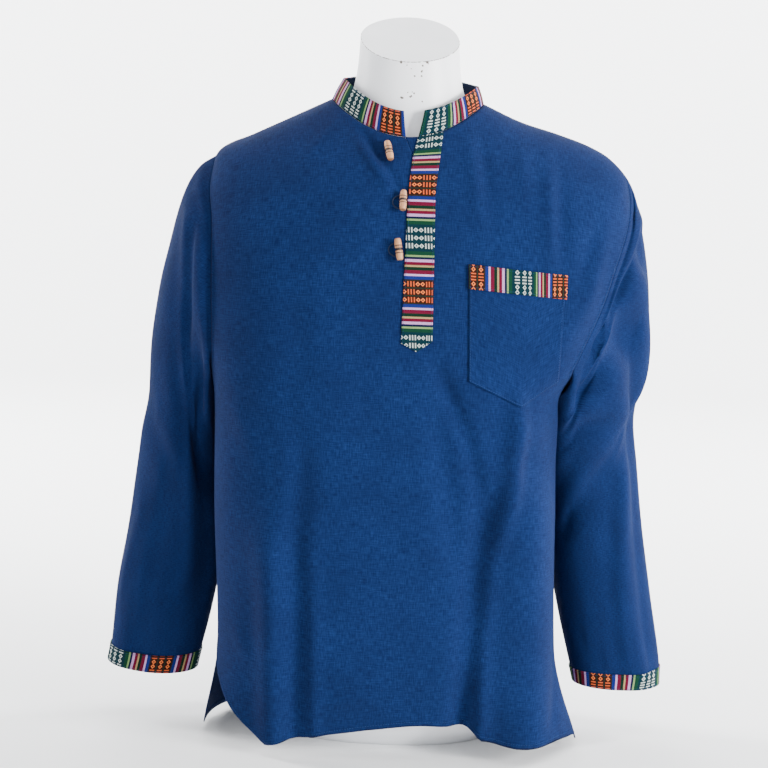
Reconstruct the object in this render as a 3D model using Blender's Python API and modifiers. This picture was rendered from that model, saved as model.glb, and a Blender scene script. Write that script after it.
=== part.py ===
"""A cotton pullover shirt with bands of woven trim, shown on a white limbless dress form.

Everything is in metres. The origin is the middle of the form's flat base, +X is the wearer's
left, -Y is the front and +Z is up. Shirt and form are both surfaces of rings round the body: a
ring is told by a number that grows from the neckline down, and a place on it by its angle from
the front, which grows to the wearer's left. A panel of cloth is a patch of that surface with a
wall, and what lies on a panel is cut from the panel's own points and moved out.
"""

import math

import bmesh
import bpy
import numpy as np
from mathutils import Vector

MM = 0.001
SIDES = {"left": 1.0, "right": -1.0}

# Cloth
CLOTH = 1.2 * MM  # wall of the shirt's cotton
TRIM = 1.2 * MM  # wall of the woven bands
FACING = 1.0 * MM  # wall of the collar's inner cloth
SEAM = 0.3 * MM  # clearance between pieces that are sewn together
SLIVER = 0.5 * MM  # points nearer than this on a cut edge are one

# Where the body's seams lie, by ring number
ARMHOLE_TOP = 3.3
UNDERARM = 7.0
VENT_TOP = 9.0
HEM = 10.0
SLOT_ROW = 5  # the neck slot ends this many rows below the armhole's top
NECK_ROWS, ARMHOLE_ROWS, SIDE_ROWS, VENT_ROWS = 7, 11, 9, 4
FRONT_COLUMNS = 11  # on each side of the neck slot
SLOT_COLUMNS = 3
BACK_COLUMNS = 9  # on each side of the middle

# The neck slot, filled by the under placket: ring number, its two edges
SLOT_RINGS = (0.0, 0.5, 1.0)
SLOT_RIGHT_X = (-2.0 * MM, 7.5 * MM, 12.0 * MM)
SLOT_LEFT_X = (27.0 * MM, 26.0 * MM, 26.0 * MM)

# Collar, a band that leans in towards its top
COLLAR_ROWS = 3
COLLAR_LIFT = 0.35 * MM  # between the neckline and the band's foot
COLLAR_BOW = 0.8 * MM  # how far the band bulges at half its height
COLLAR_END_RIGHT = -1.0  # degrees from the front where the band's two ends stand, at its foot
COLLAR_END_LEFT = 8.5
COLLAR_SPREAD = (2.5, 5.0)  # degrees by which the right and left end open towards the top
COLLAR_SPREADS = 40.0  # degrees of the band, at each end, that take part in the spread
COLLAR_GAP = 0.03  # radians, the least distance of a column from the band's end

# Placket, pocket and band, as seen from the front: corners (x, z)
PLACKET_BEND_Z = 0.660
PLACKET_RIGHT_X = ((0.7240, 12.9 * MM), (0.6980, 7.2 * MM), (0.6600, 3.0 * MM))
PLACKET_BOTTOM = ((0.9 * MM, 0.4910), (18.9 * MM, 0.4815), (36.4 * MM, 0.4940))
PLACKET_TOP_LEFT = (41.5 * MM, 0.7280)
PLACKET_BEND_LEFT = (34.0 * MM, PLACKET_BEND_Z)
POCKET = ((74.7, 580.7), (185.8, 571.0), (182.3, 450.2), (140.4, 421.2), (78.9, 450.0))
BAND = ((73.9, 581.5), (186.8, 571.8), (186.8, 544.8), (74.9, 554.5))

# Toggles: middle (x, z) and lean in degrees, and the barrel's profile
TOGGLES = {1: (-20.2 * MM, 0.703, -10.0), 2: (-2.6 * MM, 0.6480, 3.0), 3: (-5.2 * MM, 0.5950, -9.0)}
TOGGLE_LENGTH = 25.0 * MM
BARREL = ((0.50, 0.0), (0.50, 2.9), (0.47, 3.4), (0.30, 4.0), (0.12, 4.2), (0.05, 4.0), (0.0, 3.1))
LOOPED = (2, 3)
CORD = 1.7 * MM  # thickness of the loops' cord
LOOP_HEIGHT = 16.0 * MM
TOGGLE_OVER_LOOP = 2.15 * MM
TOGGLE_OVER_CLOTH = 0.5 * MM
CORD_OVER_CLOTH = 0.4 * MM
LOOP_REACH = 11.5 * MM  # past the toggle's middle, to the wearer's right

# Colours as sRGB, and roughness
INDIGO = (0.070, 0.165, 0.370)
NAVY = (0.045, 0.060, 0.115)
WOVEN = (0.42, 0.20, 0.22)
WOOD = (0.78, 0.60, 0.46)
PAINT = (0.93, 0.94, 0.95)


class Table:
    """Rows of named sizes, read between the rows along a smooth curve that never overshoots."""

    def __init__(self, columns, *rows):
        self.columns = columns.split()
        self.values = np.array([row[1:] for row in rows], float)
        self.last = len(rows) - 1

    def read(self, column, at):
        known = self.values[:, self.columns.index(column)]
        at = np.clip(np.asarray(at, float), 0, self.last)
        low = np.minimum(at.astype(int), self.last - 1)
        step = np.diff(known)
        slope = np.zeros(len(known))
        slope[0], slope[-1] = step[0], step[-1]
        same = step[:-1] * step[1:] > 0
        before, after = step[:-1][same], step[1:][same]
        slope[1:-1][same] = 2 * before * after / (before + after)
        f = at - low
        rise = f * f * (3 - 2 * f)
        start = f * (1 - f) ** 2 * slope[low]
        end = f * f * (f - 1) * slope[low + 1]
        return known[low] * (1 - rise) + known[low + 1] * rise + start + end

    def size(self, column, at):
        return self.read(column, at) * MM

    def row_at(self, column, size):
        """The row, with its fraction, at which a growing column has a size in metres."""
        known = self.values[:, self.columns.index(column)] * MM
        return np.interp(size, known, np.arange(self.last + 1))


RING_COLUMNS = "right_x right_z left_x left_z front_y front_z back_y back_z middle_y squareness"

SHIRT = Table(
    RING_COLUMNS,
    ("neckline", 89.5, 762.5, 89.5, 762.5, -80, 721.5, 62, 766, -6, 2),
    ("yoke", 135, 740.5, 135, 743, -105, 680, 92, 740, -4, 2.1),
    ("shoulder", 180, 718.8, 180, 730, -124, 636, 116, 700, -2, 2.2),
    ("shoulder end", 214, 702, 222, 714.5, -135, 591, 128, 652, 0, 2.3),
    ("over the arm", 234, 650, 262, 679, -142, 548, 134, 598, -6, 2.4),
    ("upper arm", 238, 578, 272, 608, -146, 503, 137, 538, -12, 2.5),
    ("chest", 230, 488, 235, 493, -149, 438, 138, 458, -20, 2.6),
    ("underarm", 216, 408, 190, 413, -150, 383, 138, 388, -25, 2.7),
    ("waist", 213, 288, 190, 288, -150, 273, 137, 273, -28, 2.8),
    ("vent top", 205, 123, 195, 123, -148, 128, 137, 123, -30, 2.8),
    ("hem", 221, 8, 229, 10, -132, 44, 140, 9, -30, 2.8),
)

COLLAR = Table(
    RING_COLUMNS,
    ("foot", 89.5, 762.5, 89.5, 762.5, -80, 721.5, 62, 766, -6, 2),
    ("top edge", 76.5, 788, 82.5, 783.5, -75, 751, 59, 796, 0, 2),
)

FORM = Table(
    RING_COLUMNS,
    ("cap", 58, 837.5, 58, 833, -60, 807, 44, 863, -8, 2),
    ("neck", 60.5, 800, 60.5, 800, -62, 770, 45, 815, -8, 2),
    ("neck foot", 66, 773, 66, 773, -64, 740, 47, 784, -8, 2),
    ("neckline", 86, 757, 86, 757, -70, 713, 53, 757, -7, 2),
    ("yoke", 135, 738.2, 135, 740.7, -99, 676, 88, 736, -4, 2.1),
    ("shoulder", 180, 716.5, 180, 727.7, -117, 633, 111, 696, -2, 2.2),
    ("shoulder end", 211, 699.5, 217, 711.5, -125, 589, 120, 649, 0, 2.3),
    ("stub", 219, 660, 224, 672, -127, 548, 122, 594, 0, 2.5),
    ("under the stub", 205, 588, 207, 592, -127, 498, 120, 528, 0, 2.5),
    ("armpit", 182, 518, 182, 518, -122, 448, 112, 458, 0, 2.4),
    ("chest", 171, 438, 171, 438, -112, 388, 101, 388, 0, 2.3),
    ("waist", 155, 308, 155, 308, -99, 288, 92, 288, 0, 2.2),
    ("hip", 166, 150, 166, 150, -108, 150, 116, 150, 0, 2.3),
    ("thigh", 161, 66, 161, 66, -104, 66, 112, 66, 0, 2.3),
    ("turn", 146, 24, 146, 24, -86, 24, 104, 24, 8, 2.2),
    ("base edge", 128, 5, 128, 5, -66, 5, 94, 5, 14, 2.2),
)
FORM_NECKLINE = 3  # the form's ring that lies under the shirt's ring 0
FORM_FOOT = 0.97  # the flat base as a share of the ring above it

ARMHOLE = Table(
    "front_right front_left back_right back_left",
    ("top", 0, 0, 0, 0),
    ("upper", 24, 12, 17, 14),
    ("middle", 28, 33, 23, 22),
    ("lower", 25, 35, 22, 23),
    ("underarm", 0, 0, 0, 0),
)

VENT = Table(
    "front_right front_left back_right back_left",
    ("top", 0, 0, 0, 0),
    ("upper", 24, 2, 1, 1),
    ("lower", 40, 3, 2, 2),
    ("corner", 55, 4, 3, 3),
)

# The front's hem as it hangs: x and height, from the wearer's right to the left
HEMLINE = Table(
    "x z",
    ("right corner", -150, 15),
    ("right fold", -107, 22),
    ("right of the middle", -70, 29),
    ("middle", -20, 37),
    ("left of the middle", 45, 44),
    ("beside the fold", 92, 42),
    ("left fold's side", 112, 29),
    ("left fold", 155, 22),
    ("left corner", 205, 24),
)

# Largest folds of the body: where each runs as seen from the front, how wide and how far it
# stands out (a trough is negative); the last column tells front (-1) from back (1)
FOLDS = (
    ("trough by the right hip", (-0.110, 0.418), (-0.103, 0.028), 0.013, -0.009, -1),
    ("ridge at the right hip", (-0.140, 0.300), (-0.128, 0.010), 0.026, 0.014, -1),
    ("ridge below the pocket", (0.152, 0.350), (0.166, 0.010), 0.030, 0.019, -1),
    ("trough beside that ridge", (0.114, 0.330), (0.094, 0.028), 0.014, -0.013, -1),
    ("trough in the middle", (0.040, 0.438), (0.088, 0.188), 0.018, -0.006, -1),
    ("fold beside the open neck", (-0.051, 0.716), (-0.004, 0.653), 0.009, 0.004, -1),
    ("drag line to the left underarm", (0.215, 0.588), (0.175, 0.458), 0.014, 0.006, -1),
    ("back middle trough", (0.020, 0.548), (0.030, 0.028), 0.026, -0.010, 1),
    ("back right ridge", (-0.090, 0.418), (-0.105, 0.018), 0.028, 0.010, 1),
    ("back left ridge", (0.110, 0.468), (0.120, 0.018), 0.030, 0.011, 1),
    ("back left trough", (0.165, 0.388), (0.175, 0.048), 0.016, -0.008, 1),
)

SLEEVE_COLUMNS = "outer_x outer_z inner_x inner_z middle_y depth front_drop"

SLEEVES = {
    "right": Table(
        SLEEVE_COLUMNS,
        ("armhole", 220, 697, 213, 406, -12, 62, 0),
        ("cap", 241, 684, 219.5, 396, -13, 66, 0),
        ("cap side", 258, 655, 219.5, 377, -3, 70, 0),
        ("upper arm", 276.5, 591, 217.5, 354, 14, 74, 0),
        ("biceps", 290, 533, 215.5, 333, 24, 76, 0),
        ("over the elbow", 297, 468, 213, 310, 32, 73, 1),
        ("elbow", 297.5, 416, 210.5, 285, 36, 69, 2),
        ("under the elbow", 304, 360, 209, 256, 39, 64, 3),
        ("forearm", 314, 296, 208.5, 226, 41, 58, 4),
        ("lower forearm", 324, 235, 209.5, 196, 41, 52, 5),
        ("wrist", 336, 160, 219, 136, 37, 43, 6),
        ("cuff top", 341, 91, 230, 88, 31, 33, 7),
        ("cuff end", 344, 71, 235, 65.5, 30, 31, 7),
    ),
    "left": Table(
        SLEEVE_COLUMNS,
        ("armhole", 234, 706, 190, 413, -20, 75, 0),
        ("cap", 258.5, 687, 193.5, 396, -12, 80, 0),
        ("cap side", 273, 659, 193, 376, 0, 84, 0),
        ("upper arm", 287, 609, 192.5, 356, 10, 86, 0),
        ("biceps", 297, 548, 192, 336, 20, 84, 0),
        ("over the elbow", 300.5, 493, 191.5, 313, 28, 80, 1),
        ("elbow", 296.5, 438, 191.5, 288, 34, 74, 2),
        ("under the elbow", 290, 390, 192, 260, 38, 68, 2),
        ("forearm", 296, 338, 193, 233, 41, 60, 3),
        ("lower forearm", 304, 273, 196.5, 203, 41, 53, 3),
        ("wrist", 319.5, 178, 208, 148, 36, 43, 4),
        ("cuff top", 335, 86, 225, 82, 30, 33, 4),
        ("cuff end", 335, 64, 229.5, 64.5, 29, 31, 4),
    ),
}
SLEEVE_ROWS = (0.5, 1, 1.5, 2, 2.5, 3, 3.6, 4.2, 4.8, 5.4, 6, 6.6, 7.2, 8, 8.8, 9.4, 10, 10.5, 11, 11.5, 12)
CUFF_ROWS = (11.0, 11.5, 12.0)
SLEEVE_SETTLES = 3.0  # rows over which the armhole's shape gives way to the sleeve's own

ROW_SPAN = 18.0  # degrees that one row counts for, in a fold's width
FOLDS_START = (1.0, 3.0)  # rows over which they grow from nothing

# Largest folds of the sleeves: row and angle where each starts and ends, half width in degrees
# and how far it stands out; the angle is 0 on the outer side, 90 at the front, 180 inside
SLEEVE_FOLDS = {
    "right": (
        ("trough behind the body", (2.4, 122), (5.0, 138), 24, -0.014),
        ("trough over the upper arm", (1.5, 50), (4.8, 95), 20, -0.010),
        ("ridge at the elbow", (5.6, 30), (7.4, 20), 22, 0.005),
        ("trough down the forearm", (8.0, 75), (11.0, 70), 16, -0.003),
        ("back trough", (2.0, 250), (8.0, 270), 26, -0.010),
    ),
    "left": (
        ("upper drag fold", (1.8, 60), (5.6, 30), 14, 0.007),
        ("lower drag fold", (2.2, 105), (6.4, 60), 16, 0.008),
        ("trough between them", (2.0, 84), (6.0, 46), 12, -0.010),
        ("trough over the elbow crease", (7.0, 20), (7.2, 130), 14, -0.007),
        ("ridge down the forearm", (7.8, 55), (10.8, 58), 17, 0.006),
        ("back trough", (2.0, 262), (8.0, 280), 26, -0.010),
    ),
}


def unit(v):
    return v / np.maximum(np.linalg.norm(v, axis=-1, keepdims=True), 1e-12)


def smooth(low, high, value):
    f = np.clip((value - low) / (high - low), 0, 1)
    return f * f * (3 - 2 * f)


def ring_point(rings, ring, angle, bend=2.0):
    """The point of a body surface on a ring, at an angle in radians from the front.

    The bend tells how the ring rises from its sides to its front and back: 2 is a saddle, as on
    shoulders, and 1 lies in one plane.
    """
    ring, angle = np.broadcast_arrays(np.asarray(ring, float), np.asarray(angle, float))
    across, ahead = np.sin(angle), np.cos(angle)
    power = rings.read("squareness", ring)
    reach = (abs(across) ** power + abs(ahead) ** power) ** (1 / power)
    left, front = across >= 0, ahead >= 0
    side_x = np.where(left, rings.size("left_x", ring), rings.size("right_x", ring))
    side_z = np.where(left, rings.size("left_z", ring), rings.size("right_z", ring))
    end_y = np.where(front, rings.size("front_y", ring), rings.size("back_y", ring))
    end_z = np.where(front, rings.size("front_z", ring), rings.size("back_z", ring))
    middle = rings.size("middle_y", ring)
    x = side_x * across / reach
    y = middle + (end_y - middle) * abs(ahead) / reach
    rise = abs(ahead) ** bend
    z = side_z * (1 - rise) + end_z * rise
    return np.stack([x, y, z], -1)


def surface_normal(surface, row, angle, row_step=0.02, angle_step=0.01):
    """The outward normal and the unit direction along the angle, from nearby points."""
    down = surface(row + row_step, angle) - surface(row - row_step, angle)
    around = surface(row, angle + angle_step) - surface(row, angle - angle_step)
    return unit(np.cross(down, around)), unit(around)


def distance_to_stroke(u, v, start, end):
    """How far each (u, v) lies from the straight stroke between two points."""
    run_u, run_v = end[0] - start[0], end[1] - start[1]
    along = ((u - start[0]) * run_u + (v - start[1]) * run_v) / (run_u**2 + run_v**2)
    along = np.clip(along, 0, 1)
    return np.hypot(u - start[0] - along * run_u, v - start[1] - along * run_v)


def fold_height(point, ahead):
    """How far the shirt's body stands out at a point, by the folds of its front or back."""
    height = np.zeros(point.shape[:-1])
    for _, top, low, width, rise, side in FOLDS:
        near = distance_to_stroke(point[..., 0], point[..., 2], top, low)
        height += rise * np.exp(-((near / width) ** 2)) * smooth(0.05, 0.35, -side * ahead)
    return height


def smooth_shirt(ring, angle):
    return ring_point(SHIRT, ring, angle)


def shirt(ring, angle):
    """The shirt's outer surface, folds included."""
    point = smooth_shirt(ring, angle)
    ahead = np.cos(angle) + 0 * ring
    normal, _ = surface_normal(smooth_shirt, ring, angle)
    point = point + normal * fold_height(point, ahead)[..., None]
    near_hem = smooth(VENT_TOP - 1, HEM, ring) * smooth(0.1, 0.45, ahead)
    hung = HEMLINE.size("z", HEMLINE.row_at("x", point[..., 0]))
    level = smooth_shirt(HEM + 0 * ring, angle)[..., 2]
    point[..., 2] += (hung - level) * near_hem
    return point


def angle_at(ring, x):
    """The angle near the front at which a ring of the shirt has the given x."""
    ring, x = np.broadcast_arrays(np.asarray(ring, float), np.asarray(x, float))
    low, high = np.full(ring.shape, -1.2), np.full(ring.shape, 1.2)
    for _ in range(40):
        mid = (low + high) / 2
        short = ring_point(SHIRT, ring, mid)[..., 0] < x
        low, high = np.where(short, mid, low), np.where(short, high, mid)
    return (low + high) / 2


def panel_edge(ring, panel, side):
    """The angle at which a panel ends on a ring: at the side line, or short of it."""
    column = panel + "_" + side
    down = (ring - ARMHOLE_TOP) / (UNDERARM - ARMHOLE_TOP)
    cut = ARMHOLE.read(column, down * ARMHOLE.last)
    cut = cut + VENT.read(column, (ring - VENT_TOP) / (HEM - VENT_TOP) * VENT.last)
    short = math.pi / 2 - np.radians(cut)
    if panel == "back":
        short = math.pi - short
    return SIDES[side] * short


def armhole_place(side, turn):
    """Ring and angle on the shirt for a turn round the armhole: 0 on top, 180 at the underarm."""
    turn = np.mod(turn, 360)
    front = turn <= 180
    down = np.where(front, turn, 360 - turn) / 180
    ring = ARMHOLE_TOP + down * (UNDERARM - ARMHOLE_TOP)
    edge = np.where(front, panel_edge(ring, "front", side), panel_edge(ring, "back", side))
    return ring, edge


def sleeve_ring(side, row, turn):
    """A point of the plain sleeve: an oval between its outer and inner lines."""
    rows = SLEEVES[side]
    radians = np.radians(turn)
    outward, ahead = np.cos(radians), np.sin(radians)
    outer_x, inner_x = rows.size("outer_x", row), rows.size("inner_x", row)
    outer_z, inner_z = rows.size("outer_z", row), rows.size("inner_z", row)
    x = (outer_x + inner_x) / 2 + (outer_x - inner_x) / 2 * outward
    z = (outer_z + inner_z) / 2 + (outer_z - inner_z) / 2 * outward
    y = rows.size("middle_y", row) - rows.size("depth", row) * ahead
    z = z - rows.size("front_drop", row) * ahead
    return np.stack([SIDES[side] * x, y, z], -1)


def smooth_sleeve(side, row, turn):
    """The sleeve, which starts as the armhole's own outline."""
    row, turn = np.broadcast_arrays(np.asarray(row, float), np.asarray(turn, float))
    armhole = shirt(*armhole_place(side, turn))
    start = sleeve_ring(side, np.zeros(row.shape), turn)
    settled = smooth(0, SLEEVE_SETTLES, row)[..., None]
    return sleeve_ring(side, row, turn) + (armhole - start) * (1 - settled)


def sleeve(side, row, turn):
    """The sleeve's outer surface, folds included, and its normal."""
    row, turn = np.broadcast_arrays(np.asarray(row, float), np.asarray(turn, float))

    def plain(at_row, at_turn):
        return smooth_sleeve(side, at_row, at_turn)

    def folded(at_row, at_turn):
        normal, _ = surface_normal(plain, at_row, at_turn, 0.05, 1.0)
        normal = normal * -SIDES[side]
        height = np.zeros(at_row.shape)
        for _, start, end, width, rise in SLEEVE_FOLDS[side]:
            first, last = (start[0] * ROW_SPAN, start[1]), (end[0] * ROW_SPAN, end[1])
            near = distance_to_stroke(at_row * ROW_SPAN, at_turn, first, last)
            height = height + rise * np.exp(-((near / width) ** 2))
        height = height * smooth(*FOLDS_START, at_row)
        return plain(at_row, at_turn) + normal * height[..., None]

    normal, _ = surface_normal(folded, row, turn, 0.05, 1.0)
    return folded(row, turn), normal * -SIDES[side]


def armhole_seam(side):
    """Points, shared wall directions and sleeve-ward directions of the armhole seam."""
    turn = np.arange(2 * ARMHOLE_ROWS) * 180 / ARMHOLE_ROWS
    ring, angle = armhole_place(side, turn)
    point = shirt(ring, angle)
    panel_normal, _ = surface_normal(shirt, ring, angle)
    along = unit(np.roll(point, -1, 0) - np.roll(point, 1, 0))
    leaving = sleeve(side, 0.5, turn)[0] - point
    sleeve_normal = unit(np.cross(along, leaving))
    outward = point - point.mean(0)
    sleeve_normal *= np.sign((sleeve_normal * outward).sum(-1, keepdims=True))
    normal = unit(panel_normal + sleeve_normal)
    toward = unit(np.cross(along, normal))
    toward *= np.sign((toward * leaving).sum(-1, keepdims=True))
    return point, normal, toward


def material(name, colour, roughness):
    """A plain Principled material; the colour is sRGB."""
    made = bpy.data.materials.new(name)
    made.use_nodes = True
    linear = [c / 12.92 if c <= 0.04045 else ((c + 0.055) / 1.055) ** 2.4 for c in colour]
    shader = made.node_tree.nodes["Principled BSDF"]
    shader.inputs["Base Color"].default_value = (*linear, 1)
    shader.inputs["Roughness"].default_value = roughness
    made.diffuse_color = (*linear, 1)
    return made


def add_object(name, mesh, look):
    mesh.materials.append(material(name, *look))
    made = bpy.data.objects.new(name, mesh)
    parts.objects.link(made)
    return made


def grid_faces(rows, columns, closed=False, left_out=()):
    """Triangles of a grid of points, row by row; a cell in left_out has none."""
    faces = []
    for row in range(rows - 1):
        for column in range(columns if closed else columns - 1):
            if (row, column) in left_out:
                continue
            beside = (column + 1) % columns
            a, b = row * columns + column, row * columns + beside
            c, d = a + columns, b + columns
            faces += [(a, c, d), (a, d, b)]
    return faces


def cloth(name, outer, inner, faces, look):
    """A closed wall of cloth between two sheets of the same faces."""
    outer, inner = outer.reshape(-1, 3), inner.reshape(-1, 3)
    used = sorted({index for face in faces for index in face})
    place = {old: new for new, old in enumerate(used)}
    count = len(used)
    shape = bmesh.new()
    for sheet in (outer[used], inner[used]):
        for point in sheet:
            shape.verts.new(point)
    shape.verts.ensure_lookup_table()
    open_edges = {}
    for face in faces:
        a, b, c = (place[index] for index in face)
        shape.faces.new([shape.verts[i] for i in (a, b, c)])
        shape.faces.new([shape.verts[i + count] for i in (c, b, a)])
        for start, end in ((a, b), (b, c), (c, a)):
            if (end, start) in open_edges:
                del open_edges[(end, start)]
            else:
                open_edges[(start, end)] = True
    for start, end in open_edges:
        rim = (end, start, start + count, end + count)
        shape.faces.new([shape.verts[i] for i in rim])
    bmesh.ops.recalc_face_normals(shape, faces=shape.faces)
    mesh = bpy.data.meshes.new(name)
    shape.to_mesh(mesh)
    shape.free()
    mesh.shade_smooth()
    return add_object(name, mesh, look)


def body_rows():
    """Ring numbers of the panels' rows, from the neckline to the hem."""
    stretches = (
        (0, ARMHOLE_TOP, NECK_ROWS),
        (ARMHOLE_TOP, UNDERARM, ARMHOLE_ROWS),
        (UNDERARM, VENT_TOP, SIDE_ROWS),
        (VENT_TOP, HEM, VENT_ROWS),
    )
    rows = [np.linspace(start, end, count + 1)[:-1] for start, end, count in stretches]
    return np.append(np.concatenate(rows), HEM)


def slot_angles(rows):
    right = angle_at(rows, np.interp(rows, SLOT_RINGS, SLOT_RIGHT_X))
    left = angle_at(rows, np.interp(rows, SLOT_RINGS, SLOT_LEFT_X))
    return right, left


def panel_angles(panel):
    """The angle of each column of the front or back, row by row."""
    rows = body_rows()
    right, left = panel_edge(rows, panel, "right"), panel_edge(rows, panel, "left")
    if panel == "front":
        slot_right, slot_left = slot_angles(rows)
        share = np.linspace(0, 1, FRONT_COLUMNS + 1)[None]
        first = right[:, None] + (slot_right - right)[:, None] * share
        second = slot_left[:, None] + (left - slot_left)[:, None] * share
        between = np.linspace(0, 1, SLOT_COLUMNS + 1)[None, 1:-1]
        between = slot_right[:, None] + (slot_left - slot_right)[:, None] * between
        angle = np.concatenate([first, between, second], 1)
    else:
        share = np.linspace(0, 1, 2 * BACK_COLUMNS + 1)[None]
        angle = left[:, None] + (right + 2 * math.pi - left)[:, None] * share
    return angle


def panel_grid(panel):
    """Outer points and wall directions of the front or back, edges drawn in for the seams."""
    angle = panel_angles(panel)
    ring = body_rows()[:, None] + 0 * angle
    point = shirt(ring, angle)
    normal, around = surface_normal(shirt, ring, angle)
    edges = (("right", 0), ("left", -1)) if panel == "front" else (("left", 0), ("right", -1))
    first_row = NECK_ROWS
    for side, column in edges:
        inward = 1.0 if column == 0 else -1.0
        point[:, column] += around[:, column] * inward * SEAM / 2
        seam, shared, toward = armhole_seam(side)
        step = 1 if panel == "front" else -1
        for down in range(ARMHOLE_ROWS + 1):
            place = (step * down) % (2 * ARMHOLE_ROWS)
            corner = down in (0, ARMHOLE_ROWS)
            start = point[first_row + down, column] if corner else seam[place]
            point[first_row + down, column] = start - toward[place] * SEAM / 2
            normal[first_row + down, column] = shared[place]
    return point, normal


def make_front(point, normal):
    slot_column = FRONT_COLUMNS
    slot_end = NECK_ROWS + SLOT_ROW
    slot_columns = range(slot_column, slot_column + SLOT_COLUMNS)
    slot = [(row, column) for row in range(slot_end) for column in slot_columns]
    faces = grid_faces(*point.shape[:2], left_out=slot)
    cloth("front", point, point - normal * CLOTH, faces, (INDIGO, 0.9))
    # The under placket fills the slot, clear of its edges and its end
    strip_end = slot_column + SLOT_COLUMNS + 1
    strip = point[: slot_end + 1, slot_column:strip_end].copy()
    wall = normal[: slot_end + 1, slot_column:strip_end]
    across = unit(strip[:, -1] - strip[:, 0])
    strip[:, 0] += across * SEAM
    strip[:, -1] -= across * SEAM
    strip[-1] += unit(strip[-2] - strip[-1]) * SEAM
    faces = grid_faces(slot_end + 1, SLOT_COLUMNS + 1)
    cloth("under_placket", strip, strip - wall * CLOTH, faces, (INDIGO, 0.9))


def make_back():
    point, normal = panel_grid("back")
    faces = grid_faces(*point.shape[:2])
    cloth("back", point, point - normal * CLOTH, faces, (INDIGO, 0.9))


def make_sleeve(side):
    """A tube of cloth that starts at the armhole's seam; the cuff's band lies on its end."""
    seam, shared, toward = armhole_seam(side)
    turn = np.arange(2 * ARMHOLE_ROWS) * 180 / ARMHOLE_ROWS
    rows = np.array(SLEEVE_ROWS, float)
    point, normal = sleeve(side, rows[:, None], turn[None])
    point = np.concatenate([(seam + toward * SEAM / 2)[None], point])
    normal = np.concatenate([shared[None], normal])
    faces = grid_faces(len(rows) + 1, len(turn), closed=True)
    cloth("sleeve_" + side, point, point - normal * CLOTH, faces, (INDIGO, 0.9))
    point, normal = sleeve(side, np.array(CUFF_ROWS)[:, None], turn[None])
    faces = grid_faces(len(CUFF_ROWS), len(turn), closed=True)
    inner, outer = point + normal * SEAM, point + normal * (SEAM + TRIM)
    cloth("cuff_" + side, outer, inner, faces, (WOVEN, 0.85))


def collar_point(share, angle):
    """The collar band's outer surface, from its foot (0) to its top edge (1)."""
    foot = shirt(0.0 * share, angle)
    tangent = unit(shirt(0.0 * share, angle) - shirt(0.0 * share + 0.05, angle))
    foot = foot + tangent * COLLAR_LIFT
    top = ring_point(COLLAR, COLLAR.last + 0 * share, angle)
    bow = COLLAR_BOW * np.sin(math.pi * share)[..., None] * unit(foot * (1, 1, 0))
    return foot * (1 - share[..., None]) + top * share[..., None] + bow


def make_collar():
    """The band of woven trim and its facing; its columns follow those of the neckline."""
    right, left = math.radians(COLLAR_END_RIGHT), math.radians(COLLAR_END_LEFT)
    front, back = panel_angles("front")[0], panel_angles("back")[0]
    ahead = front[front > left + COLLAR_GAP]
    behind = front[front < right - COLLAR_GAP] + 2 * math.pi
    foot = np.concatenate([[left], ahead[:-1], back, behind[1:], [right + 2 * math.pi]])
    share = np.linspace(0, 1, COLLAR_ROWS + 1)[:, None]
    reach = math.radians(COLLAR_SPREADS)
    open_right, open_left = (math.radians(spread) for spread in COLLAR_SPREAD)
    angle = foot[None] + open_left * share * np.clip(1 - (foot - foot[0]) / reach, 0, 1)
    angle = angle - open_right * share * np.clip(1 - (foot[-1] - foot) / reach, 0, 1)
    share = share + 0 * angle
    point = collar_point(share, angle)
    normal, _ = surface_normal(collar_point, share, angle)
    normal = -normal
    faces = [face[::-1] for face in grid_faces(*point.shape[:2])]
    cloth("collar", point, point - normal * TRIM, faces, (WOVEN, 0.85))
    near, far = TRIM + SEAM, TRIM + SEAM + FACING
    cloth("collar_facing", point - normal * near, point - normal * far, faces, (NAVY, 0.9))


def front_sheet(point):
    """The front's outer faces without the slot, as a mesh to cut flat pieces from."""
    sheet = bmesh.new()
    for place in point.reshape(-1, 3):
        sheet.verts.new(place)
    sheet.verts.ensure_lookup_table()
    for face in grid_faces(*point.shape[:2]):
        sheet.faces.new([sheet.verts[i] for i in face])
    return sheet


def cut_patch(sheet, outline):
    """The part of a sheet inside a convex outline, told by its corners (x, z) in turn."""
    patch = sheet.copy()
    middle = Vector((sum(x for x, _ in outline), 0, sum(z for _, z in outline))) / len(outline)
    for (x, z), (next_x, next_z) in zip(outline, (*outline[1:], outline[0])):
        corner = Vector((x, 0, z))
        away = Vector((next_z - z, 0, x - next_x))
        if (middle - corner).dot(away) > 0:
            away = -away
        everything = patch.verts[:] + patch.edges[:] + patch.faces[:]
        bmesh.ops.bisect_plane(
            patch, geom=everything, dist=1e-6, plane_co=corner, plane_no=away, clear_outer=True
        )
    bmesh.ops.triangulate(patch, faces=[f for f in patch.faces if len(f.verts) > 3])
    return patch


def lay_on(name, patches, lift, thickness, look):
    """A piece of cloth that lies on the front, made from the front's own points."""
    shape = patches[0]
    for other in patches[1:]:
        spare = bpy.data.meshes.new("spare")
        other.to_mesh(spare)
        shape.from_mesh(spare)
        bpy.data.meshes.remove(spare)
    bmesh.ops.remove_doubles(shape, verts=shape.verts, dist=SLIVER)
    shape.normal_update()
    shape.verts.index_update()
    point = np.array([v.co[:] for v in shape.verts])
    normal = np.array([v.normal[:] for v in shape.verts])
    faces = [tuple(v.index for v in f.verts) for f in shape.faces]
    if (normal[:, 1]).mean() > 0:
        normal = -normal
        faces = [face[::-1] for face in faces]
    outer = point + normal * (lift + thickness)
    cloth(name, outer, point + normal * lift, faces, look)


def in_metres(outline):
    return tuple((x * MM, z * MM) for x, z in outline)


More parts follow.
